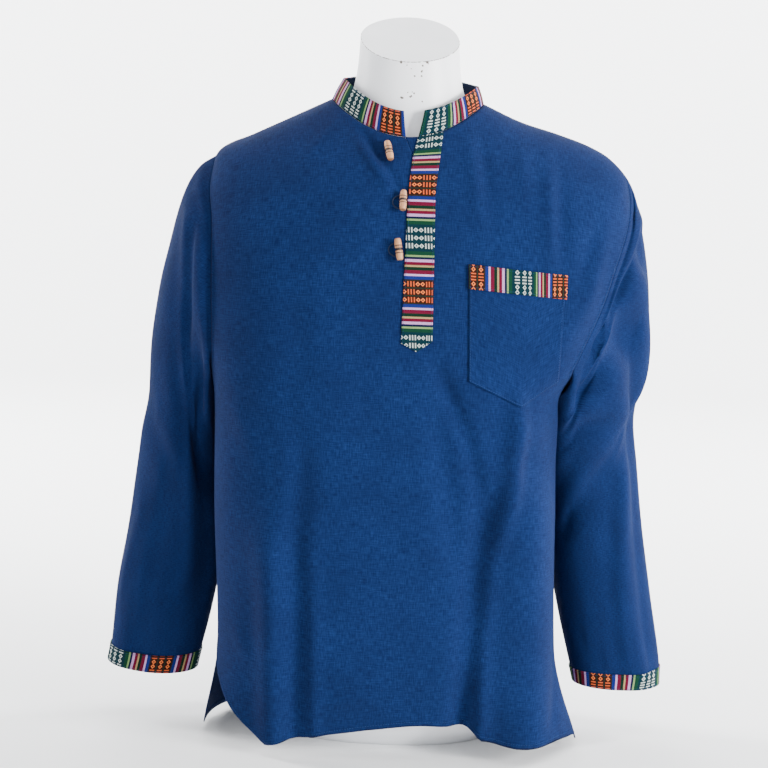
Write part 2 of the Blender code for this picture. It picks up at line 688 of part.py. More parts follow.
def make_front_pieces(point):
    """Placket, pocket and pocket band."""
    sheet = front_sheet(point)
    bend = (PLACKET_RIGHT_X[2][1], PLACKET_BEND_Z)
    lower = (bend, *PLACKET_BOTTOM, PLACKET_BEND_LEFT)
    upper = [(x, z) for z, x in PLACKET_RIGHT_X]
    upper = (*upper, PLACKET_BEND_LEFT, PLACKET_TOP_LEFT)
    strips = [cut_patch(sheet, lower), cut_patch(sheet, upper)]
    lay_on("placket", strips, SEAM, TRIM, (WOVEN, 0.85))
    lay_on("chest_pocket", [cut_patch(sheet, in_metres(POCKET))], SEAM, CLOTH, (INDIGO, 0.9))
    band_lift = SEAM + CLOTH + SEAM
    lay_on("pocket_band", [cut_patch(sheet, in_metres(BAND))], band_lift, TRIM, (WOVEN, 0.85))


def front_place(x, z):
    """Point and outward normal of the front at an x and z, found by halving the ring number."""
    low, high = 0.0, HEM
    for _ in range(40):
        ring = (low + high) / 2
        angle = angle_at(ring, x)
        if ring_point(SHIRT, ring, angle)[2] > z:
            low = ring
        else:
            high = ring
    ring, angle = np.array(ring), np.array(angle)
    normal, _ = surface_normal(shirt, ring, angle)
    return Vector(shirt(ring, angle)), Vector(normal)


def make_toggle(number):
    """A turned wooden barrel that lies on the cloth, or on the loop's cord."""
    x, z, lean = TOGGLES[number]
    point, normal = front_place(x, z)
    radius = max(r for _, r in BARREL) * MM
    profile = [(r * MM, TOGGLE_LENGTH * h) for h, r in BARREL]
    profile += [(r, -h) for r, h in reversed(profile[:-1])]
    mesh = bpy.data.meshes.new("toggle")
    mesh.from_pydata([(r, 0, h) for r, h in profile], [(i, i + 1) for i in range(len(profile) - 1)], [])
    toggle = add_object(f"toggle_{number}", mesh, (WOOD, 0.55))
    turn = toggle.modifiers.new("turned", "SCREW")
    turn.angle = 2 * math.pi
    turn.steps = turn.render_steps = 12
    turn.use_merge_vertices = True
    turn.merge_threshold = 1e-5
    under = TOGGLE_OVER_LOOP if number in LOOPED else TOGGLE_OVER_CLOTH
    toggle.location = point + normal * (radius + under)
    toggle.rotation_mode = "QUATERNION"
    upright = Vector((math.sin(math.radians(lean)), 0, math.cos(math.radians(lean))))
    upright = (upright - normal * upright.dot(normal)).normalized()
    toggle.rotation_quaternion = upright.to_track_quat("Z", "Y")
    return point, normal, upright


def make_loop(number, normal, upright, middle):
    """A loop of cord that comes out beside the placket and goes round behind the toggle."""
    sideways = upright.cross(normal).normalized()
    if sideways.x > 0:
        sideways = -sideways
    curve = bpy.data.curves.new(f"loop_{number}", "CURVE")
    curve.dimensions = "3D"
    curve.bevel_depth = CORD / 2
    curve.bevel_resolution = 2
    curve.use_fill_caps = True
    spline = curve.splines.new("POLY")
    turns = np.linspace(-math.pi / 2, math.pi / 2, 11)
    spline.points.add(len(turns) - 1)
    for place, turn in zip(spline.points, turns):
        x = middle.x - LOOP_REACH * math.cos(turn)
        z = middle.z + LOOP_HEIGHT / 2 * math.sin(turn)
        on_cloth, out = front_place(x, z)
        spot = on_cloth + out * (CORD / 2 + CORD_OVER_CLOTH)
        place.co = (*spot, 1)
    loop = bpy.data.objects.new(f"loop_{number}", curve)
    curve.materials.append(material(f"loop_{number}", NAVY, 0.8))
    parts.objects.link(loop)


def make_form():
    """The dress form: rings from its slanting neck cap to its level base, one closed body."""
    rows = np.concatenate(
        [
            np.linspace(0, FORM_NECKLINE, 7)[:-1],
            FORM_NECKLINE + body_rows()[: NECK_ROWS + 1],
            np.linspace(FORM_NECKLINE + ARMHOLE_TOP, FORM.last, 17)[1:],
        ]
    )
    angle = np.linspace(0, 2 * math.pi, 4 * BACK_COLUMNS + 1)[:-1]
    from_plane = 1 + smooth(0, 1, rows[:, None])
    point = ring_point(FORM, rows[:, None], angle[None], from_plane)
    foot = point[-1].copy()
    middle = foot.mean(0)
    foot[:, :2] = middle[:2] + (foot[:, :2] - middle[:2]) * FORM_FOOT
    foot[:, 2] = 0.0
    point = np.concatenate([point, foot[None]])
    mesh = bpy.data.meshes.new("dress_form")
    count = len(angle)
    faces = grid_faces(len(point), count, closed=True)
    faces.append(tuple(range(count)))
    faces.append(tuple(reversed(range((len(point) - 1) * count, len(point) * count))))
    mesh.from_pydata(point.reshape(-1, 3).tolist(), [], faces)
    mesh.shade_smooth()
    return add_object("dress_form", mesh, (PAINT, 0.45))


for old in list(bpy.data.objects):
    bpy.data.objects.remove(old, do_unlink=True)
parts = bpy.data.collections.new("cotton_shirt_on_dress_form")
bpy.context.scene.collection.children.link(parts)

front_point, front_normal = panel_grid("front")
make_form()
make_front(front_point, front_normal)
make_back()
for each_side in SIDES:
    make_sleeve(each_side)
make_collar()
make_front_pieces(front_point)
for each in TOGGLES:
    spot, out, up = make_toggle(each)
    if each in LOOPED:
        make_loop(each, out, up, spot)
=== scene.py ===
# %% [markdown]
# # A cotton shirt with woven trim, on a dress form
#
# The object is a men's pullover shirt of indigo handloom cotton. Its collar, placket, cuffs and
# pocket band are cut from a narrow woven trim, and it hangs on a white torso without limbs.
# The shapes come from rings round the body, so one small set of sizes makes the cloth, its
# folds, the seams and the form under them. Everything is in metres, +X is the wearer's left,
# -Y is the front and +Z is up.

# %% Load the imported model
import math

import bpy
import numpy as np
from mathutils import Matrix, Vector
from mathutils.bvhtree import BVHTree


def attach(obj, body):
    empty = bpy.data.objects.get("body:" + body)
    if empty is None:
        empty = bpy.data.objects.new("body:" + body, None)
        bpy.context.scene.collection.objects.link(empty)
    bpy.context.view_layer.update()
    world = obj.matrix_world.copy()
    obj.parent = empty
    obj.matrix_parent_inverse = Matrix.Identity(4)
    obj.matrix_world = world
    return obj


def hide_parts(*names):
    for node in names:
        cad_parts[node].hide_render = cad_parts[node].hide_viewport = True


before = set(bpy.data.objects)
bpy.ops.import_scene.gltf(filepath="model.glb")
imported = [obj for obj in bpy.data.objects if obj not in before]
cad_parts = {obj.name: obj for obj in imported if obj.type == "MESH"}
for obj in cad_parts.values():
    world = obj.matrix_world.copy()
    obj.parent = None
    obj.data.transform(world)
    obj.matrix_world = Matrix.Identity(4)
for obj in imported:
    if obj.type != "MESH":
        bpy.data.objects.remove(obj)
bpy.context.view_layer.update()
MM = 0.001

# %% [markdown]
# ## Camera
#
# The photograph looks slightly down on the shirt from about two and a half metres, and is
# turned a little in its own plane. The camera is built from those angles and the point that it
# looks at, so each can be corrected alone.

# %% Camera
CAMERA_DISTANCE = 2.5
CAMERA_PITCH = math.radians(7.0)
CAMERA_ROLL = math.radians(2.04)
CAMERA_AIM = Vector((-0.0164, 0.0, 0.4260))
CAMERA_LENS = 97.656


def aim_camera():
    ahead = Vector((0, math.cos(CAMERA_PITCH), -math.sin(CAMERA_PITCH)))
    level = Vector((1, 0, 0))
    upright = level.cross(ahead)
    right = level * math.cos(CAMERA_ROLL) + upright * math.sin(CAMERA_ROLL)
    up = upright * math.cos(CAMERA_ROLL) - level * math.sin(CAMERA_ROLL)
    lens = bpy.data.cameras.new("camera")
    lens.lens = CAMERA_LENS
    lens.sensor_width = 36.0
    camera = bpy.data.objects.new("camera", lens)
    turn = Matrix((right, up, -ahead)).transposed()
    camera.location = CAMERA_AIM - ahead * CAMERA_DISTANCE
    camera.rotation_euler = turn.to_euler()
    bpy.context.collection.objects.link(camera)
    bpy.context.scene.camera = camera
    return camera


print("camera at", [round(c, 3) for c in aim_camera().location])

# %% [markdown]
# ## Helpers for finishes
#
# Colours are written as on a screen, but Blender mixes light, which is linear, so one helper
# turns the one into the other. A second adds a node with its settings and its links, so a tree
# can be written from top to bottom, and a third starts a material with its main shader.

# %% Helpers for finishes
def linear(colour):
    """An sRGB colour such as "#1d4080" as linear red, green, blue and alpha."""
    channels = [int(colour[place : place + 2], 16) / 255 for place in (1, 3, 5)]
    return (*(c / 12.92 if c <= 0.04045 else ((c + 0.055) / 1.055) ** 2.4 for c in channels), 1.0)


def node(tree, kind, inputs=(), **settings):
    """Add a node with its settings; an input is given a value or linked to another's output."""
    made = tree.nodes.new(kind)
    for name, value in settings.items():
        setattr(made, name, value)
    for place, value in dict(inputs).items():
        if isinstance(value, bpy.types.NodeSocket):
            tree.links.new(value, made.inputs[place])
        else:
            made.inputs[place].default_value = value
    return made


def new_finish(name, colour, roughness):
    """A named Principled material, its tree and its shader."""
    made = bpy.data.materials.new(name)
    made.use_nodes = True
    shader = made.node_tree.nodes["Principled BSDF"]
    shader.inputs["Base Color"].default_value = linear(colour)
    shader.inputs["Roughness"].default_value = roughness
    made.diffuse_color = linear(colour)
    return made, made.node_tree, shader


print("middle grey as linear light", round(linear("#808080")[0], 3))

# %% [markdown]
# ## Floor and light
#
# A product is photographed on a paper sweep: one sheet that lies on the table and curves up
# behind it. A flat plane would show a horizon. Large area lights are the soft boxes: a key from
# the wearer's left, weaker ones for the other side and the top, and two that wash the wall.

# %% Floor and lights
FLOOR_HALF_WIDTH = 7.0
FLOOR_FRONT, FLOOR_BACK, FLOOR_CURVE, WALL_TOP = -7.0, 3.4, 1.4, 6.0
FLOOR_STEPS = 17  # points along the curve


def make_floor():
    """A pale sheet that runs back from the object and curves up into a wall."""
    turns = np.linspace(0, math.pi / 2, FLOOR_STEPS)
    curve = [(FLOOR_BACK + FLOOR_CURVE * math.sin(t), FLOOR_CURVE * (1 - math.cos(t))) for t in turns]
    profile = [(FLOOR_FRONT, 0.0), *curve, (FLOOR_BACK + FLOOR_CURVE, WALL_TOP)]
    points = [(x, y, z) for y, z in profile for x in (-FLOOR_HALF_WIDTH, FLOOR_HALF_WIDTH)]
    faces = [(2 * i, 2 * i + 1, 2 * i + 3, 2 * i + 2) for i in range(len(profile) - 1)]
    mesh = bpy.data.meshes.new("floor")
    mesh.from_pydata(points, [], faces)
    mesh.shade_smooth()
    mesh.materials.append(new_finish("Matte white studio sheet", "#f4f5f6", 0.95)[0])
    floor = bpy.data.objects.new("floor", mesh)
    bpy.context.collection.objects.link(floor)
    return floor


LIGHTS = (
    # name, place, what it faces, width in metres, watts
    ("key", (2.7, -1.9, 1.15), (0.0, 0.0, 0.42), 1.0, 250.0),
    ("fill", (-1.4, -3.0, 1.0), (0.0, 0.0, 0.40), 2.2, 42.0),
    ("top", (0.2, -0.5, 2.8), (0.0, 0.0, 0.45), 1.8, 34.0),
    ("wall left", (-2.8, 1.2, 2.2), (-0.6, 4.6, 1.0), 2.0, 560.0),
    ("wall right", (2.8, 1.2, 2.2), (0.6, 4.6, 1.0), 2.0, 560.0),
    ("back", (-0.6, 2.6, 2.4), (0.0, 0.0, 0.45), 1.6, 60.0),
)


def make_lights():
    for name, place, target, width, watts in LIGHTS:
        lamp = bpy.data.lights.new(name, "AREA")
        lamp.size, lamp.energy = width, watts
        light = bpy.data.objects.new(name, lamp)
        light.location = place
        light.rotation_euler = (Vector(target) - Vector(place)).to_track_quat("-Z", "Y").to_euler()
        bpy.context.collection.objects.link(light)
    world = bpy.data.worlds.new("studio")
    world.use_nodes = True
    sky = world.node_tree.nodes["Background"]
    sky.inputs["Color"].default_value = linear("#f3f5f8")
    sky.inputs["Strength"].default_value = 0.55
    bpy.context.scene.world = world


make_floor()
make_lights()
print("lights", len(LIGHTS))

# %% [markdown]
# ## Rings round the body
#
# A shirt hangs from the neck and shoulders, and below them it is a loose tube. Both can be told
# by rings: for each ring the table gives how far out and how high its two sides lie, and how far
# forward, back and high its front and back lie. A place on the shirt is then a ring number and
# an angle from the front. Between the rows the table is read along a smooth curve. A sculpted
# mesh could have the same form, but a table can be read at any place, so the fine cloth, the
# stitches and the patches on the front all find the same surface.

# %% Tables that are read between their rows
class Table:
    """Rows of named sizes, read between the rows along a smooth curve that never overshoots."""

    def __init__(self, columns, *rows):
        self.columns = columns.split()
        self.values = np.array([row[1:] for row in rows], float)
        self.last = len(rows) - 1

    def read(self, column, at):
        known = self.values[:, self.columns.index(column)]
        at = np.clip(np.asarray(at, float), 0, self.last)
        low = np.minimum(at.astype(int), self.last - 1)
        step = np.diff(known)
        slope = np.zeros(len(known))
        slope[0], slope[-1] = step[0], step[-1]
        same = step[:-1] * step[1:] > 0
        before, after = step[:-1][same], step[1:][same]
        slope[1:-1][same] = 2 * before * after / (before + after)
        f = at - low
        rise = f * f * (3 - 2 * f)
        start = f * (1 - f) ** 2 * slope[low]
        end = f * f * (f - 1) * slope[low + 1]
        return known[low] * (1 - rise) + known[low + 1] * rise + start + end

    def size(self, column, at):
        return self.read(column, at) * MM

    def row_at(self, column, size):
        """The row, with its fraction, at which a growing column has a size in metres."""
        known = self.values[:, self.columns.index(column)] * MM
        return np.interp(size, known, np.arange(self.last + 1))


# %% Rings of the shirt, the collar and the form
RING_COLUMNS = "right_x right_z left_x left_z front_y front_z back_y back_z middle_y squareness"
SHIRT = Table(
    RING_COLUMNS,
    ("neckline", 89.5, 762.5, 89.5, 762.5, -80, 721.5, 62, 766, -6, 2),
    ("yoke", 135, 740.5, 135, 743, -105, 680, 92, 740, -4, 2.1),
    ("shoulder", 180, 718.8, 180, 730, -124, 636, 116, 700, -2, 2.2),
    ("shoulder end", 214, 702, 222, 714.5, -135, 591, 128, 652, 0, 2.3),
    ("over the arm", 234, 650, 262, 679, -142, 548, 134, 598, -6, 2.4),
    ("upper arm", 238, 578, 272, 608, -146, 503, 137, 538, -12, 2.5),
    ("chest", 230, 488, 235, 493, -149, 438, 138, 458, -20, 2.6),
    ("underarm", 216, 408, 190, 413, -150, 383, 138, 388, -25, 2.7),
    ("waist", 213, 288, 190, 288, -150, 273, 137, 273, -28, 2.8),
    ("vent top", 205, 123, 195, 123, -148, 128, 137, 123, -30, 2.8),
    ("hem", 221, 8, 229, 10, -132, 44, 140, 9, -30, 2.8),
)
COLLAR = Table(
    RING_COLUMNS,
    ("foot", 89.5, 762.5, 89.5, 762.5, -80, 721.5, 62, 766, -6, 2),
    ("top edge", 76.5, 788, 82.5, 783.5, -75, 751, 59, 796, 0, 2),
)
FORM = Table(
    RING_COLUMNS,
    ("cap", 58, 837.5, 58, 833, -60, 807, 44, 863, -8, 2),
    ("neck", 60.5, 800, 60.5, 800, -62, 770, 45, 815, -8, 2),
    ("neck foot", 66, 773, 66, 773, -64, 740, 47, 784, -8, 2),
    ("neckline", 86, 757, 86, 757, -70, 713, 53, 757, -7, 2),
    ("yoke", 135, 738.2, 135, 740.7, -99, 676, 88, 736, -4, 2.1),
    ("shoulder", 180, 716.5, 180, 727.7, -117, 633, 111, 696, -2, 2.2),
    ("shoulder end", 211, 699.5, 217, 711.5, -125, 589, 120, 649, 0, 2.3),
    ("stub", 219, 660, 224, 672, -127, 548, 122, 594, 0, 2.5),
    ("under the stub", 205, 588, 207, 592, -127, 498, 120, 528, 0, 2.5),
    ("armpit", 182, 518, 182, 518, -122, 448, 112, 458, 0, 2.4),
    ("chest", 171, 438, 171, 438, -112, 388, 101, 388, 0, 2.3),
    ("waist", 155, 308, 155, 308, -99, 288, 92, 288, 0, 2.2),
    ("hip", 166, 150, 166, 150, -108, 150, 116, 150, 0, 2.3),
    ("thigh", 161, 66, 161, 66, -104, 66, 112, 66, 0, 2.3),
    ("turn", 146, 24, 146, 24, -86, 24, 104, 24, 8, 2.2),
    ("base edge", 128, 5, 128, 5, -66, 5, 94, 5, 14, 2.2),
)
FORM_NECKLINE = 3  # the form's ring that lies under the shirt's ring 0
FORM_FOOT = 0.97  # the flat base as a share of the ring above it
print("rings of the shirt", SHIRT.last + 1, "and of the form", FORM.last + 1)


# %% Reading a place on a ring
def unit(v):
    return v / np.maximum(np.linalg.norm(v, axis=-1, keepdims=True), 1e-12)


def smooth(low, high, value):
    f = np.clip((value - low) / (high - low), 0, 1)
    return f * f * (3 - 2 * f)


def ring_point(rings, ring, angle, bend=2.0):
    """The point of a body surface on a ring, at an angle in radians from the front.

    The bend tells how the ring rises from its sides to its front and back: 2 is a saddle, as on
    shoulders, and 1 lies in one plane.
    """
    ring, angle = np.broadcast_arrays(np.asarray(ring, float), np.asarray(angle, float))
    across, ahead = np.sin(angle), np.cos(angle)
    power = rings.read("squareness", ring)
    reach = (abs(across) ** power + abs(ahead) ** power) ** (1 / power)
    left, front = across >= 0, ahead >= 0
    side_x = np.where(left, rings.size("left_x", ring), rings.size("right_x", ring))
    side_z = np.where(left, rings.size("left_z", ring), rings.size("right_z", ring))
    end_y = np.where(front, rings.size("front_y", ring), rings.size("back_y", ring))
    end_z = np.where(front, rings.size("front_z", ring), rings.size("back_z", ring))
    middle = rings.size("middle_y", ring)
    x = side_x * across / reach
    y = middle + (end_y - middle) * abs(ahead) / reach
    rise = abs(ahead) ** bend
    z = side_z * (1 - rise) + end_z * rise
    return np.stack([x, y, z], -1)


def surface_normal(surface, row, angle, row_step=0.02, angle_step=0.01):
    """The outward normal and the unit direction along the angle, from nearby points."""
    down = surface(row + row_step, angle) - surface(row - row_step, angle)
    around = surface(row, angle + angle_step) - surface(row, angle - angle_step)
    return unit(np.cross(down, around)), unit(around)


print("front of the neckline", ring_point(SHIRT, 0, 0).round(3))

# %% [markdown]
# ## Folds
#
# A loose shirt on a form falls into a few long folds from the points that carry it, here the
# shoulders and the chest, and shallow creases cross them. Each fold is a stroke on the cloth as
# seen from the front or the back, with a width and a height. The cloth is moved out along its
# own normal, most in the middle of the stroke, so ridges and troughs stay soft. A cloth
# simulation would give folds of its own choice; strokes put them where the real ones lie.

# %% Folds and finer creases of the body
FOLDS = (
    # name, its path in (x, z), width and height, all in metres; the front is -1 and the back 1
    ("trough by the right hip", (-0.110, 0.418), (-0.103, 0.028), 0.013, -0.009, -1),
    ("ridge at the right hip", (-0.140, 0.300), (-0.128, 0.010), 0.026, 0.014, -1),
    ("ridge below the pocket", (0.152, 0.350), (0.166, 0.010), 0.030, 0.019, -1),
    ("trough beside that ridge", (0.114, 0.330), (0.094, 0.028), 0.014, -0.013, -1),
    ("trough in the middle", (0.040, 0.438), (0.088, 0.188), 0.018, -0.006, -1),
    ("fold beside the open neck", (-0.051, 0.716), (-0.004, 0.653), 0.009, 0.004, -1),
    ("drag line to the left underarm", (0.215, 0.588), (0.175, 0.458), 0.014, 0.006, -1),
    ("back middle trough", (0.020, 0.548), (0.030, 0.028), 0.026, -0.010, 1),
    ("back right ridge", (-0.090, 0.418), (-0.105, 0.018), 0.028, 0.010, 1),
    ("back left ridge", (0.110, 0.468), (0.120, 0.018), 0.030, 0.011, 1),
    ("back left trough", (0.165, 0.388), (0.175, 0.048), 0.016, -0.008, 1),
)
CREASES = (
    # the same for the creases that the solids don't have; 0 is on the front and the back
    ("right shoulder's end, filled out", (-0.246, 0.704), (-0.213, 0.692), 0.013, 0.0050, 0),
    ("left shoulder's end, filled out", (0.246, 0.704), (0.213, 0.700), 0.013, 0.0010, 0),
    ("long trough above the hip", (-0.122, 0.600), (-0.114, 0.360), 0.018, -0.0020, -1),
    ("hip trough, eased above", (-0.110, 0.440), (-0.105, 0.160), 0.012, 0.0046, -1),
    ("trough at the hip, moved out", (-0.119, 0.300), (-0.110, 0.020), 0.012, -0.0050, -1),
    ("trough at the hip, filled within", (-0.094, 0.300), (-0.090, 0.020), 0.014, 0.0040, -1),
    ("steep side of the trough", (-0.098, 0.230), (-0.092, 0.020), 0.006, -0.0022, -1),
    ("flat of the right hip", (-0.158, 0.240), (-0.150, 0.020), 0.014, -0.0040, -1),
    ("ripple on the left chest", (0.164, 0.715), (0.168, 0.560), 0.008, 0.0026, -1),
    ("dip beside that ripple", (0.177, 0.700), (0.183, 0.560), 0.008, -0.0022, -1),
    ("second ripple", (0.133, 0.728), (0.135, 0.640), 0.008, 0.0014, -1),
    ("ripple under the collar", (0.070, 0.738), (0.090, 0.600), 0.009, 0.0022, -1),
    ("dip beside it", (0.083, 0.730), (0.104, 0.600), 0.008, -0.0016, -1),
    ("drag to the left armhole", (0.236, 0.640), (0.205, 0.500), 0.010, 0.0030, -1),
    ("trough beside it", (0.222, 0.640), (0.186, 0.490), 0.009, -0.0024, -1),
    (
        "foot of the long fold's steep side",
        *((0.036, 0.478), (0.080, 0.386), (0.097, 0.322), (0.091, 0.240), (0.083, 0.145), (0.081, 0.020)),
        *(0.010, -0.0055, -1),
    ),
    (
        "crest of the long fold",
        *((0.137, 0.445), (0.132, 0.331), (0.114, 0.250), (0.107, 0.145), (0.105, 0.020)),
        *(0.010, 0.0105, -1),
    ),
    ("head of the long fold", (0.150, 0.430), (0.153, 0.350), 0.026, 0.0090, -1),
    ("dip outside the long fold", (0.182, 0.360), (0.190, 0.050), 0.008, -0.0030, -1),
    ("wrinkle at the pocket's point", (0.062, 0.434), (0.118, 0.428), 0.006, 0.0014, -1),
    ("level wrinkle in the middle", (0.002, 0.254), (0.066, 0.262), 0.008, 0.0012, -1),
    ("level wrinkle at the hem", (-0.084, 0.076), (-0.018, 0.084), 0.007, 0.0014, -1),
    ("small wrinkle at the hem", (0.012, 0.098), (0.066, 0.104), 0.007, 0.0012, -1),
    ("wrinkle under the chest", (-0.090, 0.420), (-0.010, 0.380), 0.016, 0.0012, -1),
    ("shallow dip on the right", (-0.060, 0.540), (-0.030, 0.340), 0.026, -0.0016, -1),
    ("wrinkle from the right underarm", (-0.200, 0.440), (-0.150, 0.330), 0.012, 0.0024, -1),
    ("wrinkle at the vent", (-0.190, 0.170), (-0.150, 0.100), 0.010, 0.0020, -1),
    ("pull beside the collar", (-0.082, 0.738), (-0.118, 0.690), 0.008, 0.0012, -1),
    ("edge of the neck fold", (-0.064, 0.726), (-0.020, 0.664), 0.005, 0.0034, -1),
    ("dip of the neck fold", (-0.056, 0.734), (-0.012, 0.670), 0.005, -0.0050, -1),
    ("lower dip of the neck fold", (-0.020, 0.684), (0.002, 0.644), 0.006, -0.0040, -1),
    ("back shoulder blade, right", (-0.120, 0.660), (-0.100, 0.480), 0.026, 0.0044, 1),
    ("back shoulder blade, left", (0.120, 0.660), (0.104, 0.480), 0.026, 0.0044, 1),
    ("back drag, right", (-0.205, 0.560), (-0.130, 0.400), 0.013, 0.0050, 1),
    ("back drag, left", (0.210, 0.580), (0.130, 0.400), 0.013, 0.0052, 1),
    ("back fold, middle", (-0.030, 0.500), (-0.040, 0.020), 0.015, 0.0064, 1),
    ("back fold beside it", (-0.002, 0.420), (-0.006, 0.020), 0.012, -0.0050, 1),
    ("back fold, far left", (0.066, 0.460), (0.082, 0.020), 0.013, 0.0056, 1),
    ("back fold, far right", (-0.146, 0.420), (-0.162, 0.020), 0.013, -0.0054, 1),
    ("back level wrinkle", (-0.060, 0.230), (0.020, 0.220), 0.009, 0.0022, 1),
    ("second back wrinkle", (0.020, 0.420), (0.100, 0.400), 0.009, 0.0022, 1),
)
print("folds", len(FOLDS), "and finer creases", len(CREASES))


# %% Height of the cloth at a place
def distance_to_stroke(u, v, start, end):
    """How far each (u, v) lies from the straight stroke between two points."""
    run_u, run_v = end[0] - start[0], end[1] - start[1]
    along = ((u - start[0]) * run_u + (v - start[1]) * run_v) / (run_u**2 + run_v**2)
    along = np.clip(along, 0, 1)
    return np.hypot(u - start[0] - along * run_u, v - start[1] - along * run_v)


FADE_LENGTH = 0.07  # metres over which a fold grows from its upper end
NEAR_HEM = 0.05  # a fold that ends lower than this runs out at the hem
ROUND_THE_SIDE = (0.05, 0.35)  # cosines over which a fold of one face dies away at the side


def fades(u, v, start, end, length):
    """From 0 at a stroke's start to 1 at some length along it."""
    run_u, run_v = end[0] - start[0], end[1] - start[1]
    whole = math.hypot(run_u, run_v)
    along = ((u - start[0]) * run_u + (v - start[1]) * run_v) / whole
    return smooth(-0.3, 1.0, along / min(length, whole / 2))


def fold_height(point, ahead):
    """How far the shirt's body stands out at a point, by the folds of its front or back."""
    height = np.zeros(point.shape[:-1])
    x, z = point[..., 0], point[..., 2]
    for _, *path, width, rise, side in FOLDS + CREASES:
        near = [distance_to_stroke(x, z, *ends) for ends in zip(path, path[1:])]
        here = rise * np.exp(-((np.min(near, 0) / width) ** 2))
        here = here * fades(x, z, path[0], path[1], FADE_LENGTH)
        if path[-1][1] > NEAR_HEM:
            here = here * fades(x, z, path[-1], path[-2], FADE_LENGTH)
        height += here * (smooth(*ROUND_THE_SIDE, -side * ahead) if side else 1.0)
    return height


long_fold = float(fold_height(np.array((0.107, 0.0, 0.145)), 1.0))
print("height of the long fold in mm", round(long_fold / MM, 1))

# %% [markdown]
# ## The shirt's surface
#
# The body's surface is the rings with the folds added, and its front hem is let down to the
# line that the photograph shows. The front and the back are two patches of it. Their edges
# follow the armhole, then the side seam, then the open vent: a table says by how many degrees
# each panel ends short of the side line.

# %% Seams and edges of the body
ARMHOLE_TOP, UNDERARM, VENT_TOP, HEM = 3.3, 7.0, 9.0, 10.0
SIDES = {"left": 1.0, "right": -1.0}
ARMHOLE = Table(
    "front_right front_left back_right back_left",
    ("top", 0, 0, 0, 0),
    ("upper", 24, 12, 17, 14),
    ("middle", 28, 33, 23, 22),
    ("lower", 25, 35, 22, 23),
    ("underarm", 0, 0, 0, 0),
)
VENT = Table(
    "front_right front_left back_right back_left",
    ("top", 0, 0, 0, 0),
    ("upper", 24, 2, 1, 1),
    ("lower", 40, 3, 2, 2),
    ("corner", 55, 4, 3, 3),
)
HEMLINE = Table(
    "x z",
    ("right corner", -150, 15),
    ("right fold", -107, 22),
    ("right of the middle", -70, 29),
    ("middle", -20, 37),
    ("left of the middle", 45, 44),
    ("beside the fold", 92, 42),
    ("left fold's side", 112, 29),
    ("left fold", 155, 22),
    ("left corner", 205, 24),
)
HEM_DROPS = (0.1, 0.45)  # cosines over which the front hem leaves the level of the back's
HALVINGS, WIDEST_ANGLE = 40, 1.2  # of a search by halving, and where it starts, in radians


def smooth_shirt(ring, angle):
    return ring_point(SHIRT, ring, angle)


def shirt(ring, angle):
    """The shirt's outer surface, folds included."""
    point = smooth_shirt(ring, angle)
    ahead = np.cos(angle) + 0 * ring
    normal, _ = surface_normal(smooth_shirt, ring, angle)
    point = point + normal * fold_height(point, ahead)[..., None]
    near_hem = smooth(VENT_TOP - 1, HEM, ring) * smooth(*HEM_DROPS, ahead)
    hung = HEMLINE.size("z", HEMLINE.row_at("x", point[..., 0]))
    level = smooth_shirt(HEM + 0 * ring, angle)[..., 2]
    point[..., 2] += (hung - level) * near_hem
    return point


def angle_at(ring, x):
    """The angle near the front at which a ring of the shirt has the given x."""
    ring, x = np.broadcast_arrays(np.asarray(ring, float), np.asarray(x, float))
    low, high = np.full(ring.shape, -WIDEST_ANGLE), np.full(ring.shape, WIDEST_ANGLE)
    for _ in range(HALVINGS):
        mid = (low + high) / 2
        short = ring_point(SHIRT, ring, mid)[..., 0] < x
        low, high = np.where(short, mid, low), np.where(short, high, mid)
    return (low + high) / 2


def panel_edge(ring, panel, side):
    """The angle at which a panel ends on a ring: at the side line, or short of it."""
    column = panel + "_" + side
    down = (ring - ARMHOLE_TOP) / (UNDERARM - ARMHOLE_TOP)
    cut = ARMHOLE.read(column, down * ARMHOLE.last)
    cut = cut + VENT.read(column, (ring - VENT_TOP) / (HEM - VENT_TOP) * VENT.last)
    short = math.pi / 2 - np.radians(cut)
    if panel == "back":
        short = math.pi - short
    return SIDES[side] * short


def armhole_place(side, turn):
    """Ring and angle on the shirt for a turn round the armhole: 0 on top, 180 at the underarm."""
    turn = np.mod(turn, 360)
    front = turn <= 180
    down = np.where(front, turn, 360 - turn) / 180
    ring = ARMHOLE_TOP + down * (UNDERARM - ARMHOLE_TOP)
    edge = np.where(front, panel_edge(ring, "front", side), panel_edge(ring, "back", side))
    return ring, edge


for side in SIDES:
    print(side, "underarm at", shirt(*armhole_place(side, 180.0)).round(3))

# %% [markdown]
# ## The sleeve's surface
#
# A sleeve with no arm in it hangs as a flattened tube, bent a little at the elbow. It starts as
# the armhole's own outline, so the seam closes, and settles within a few rows into ovals told
# by their outer and inner line. Its drag folds run from the front of the armhole out and down
# to the elbow; they are strokes on the sleeve's own rows and turns, not on the picture's x and
# z, so they go round the tube as cloth does.

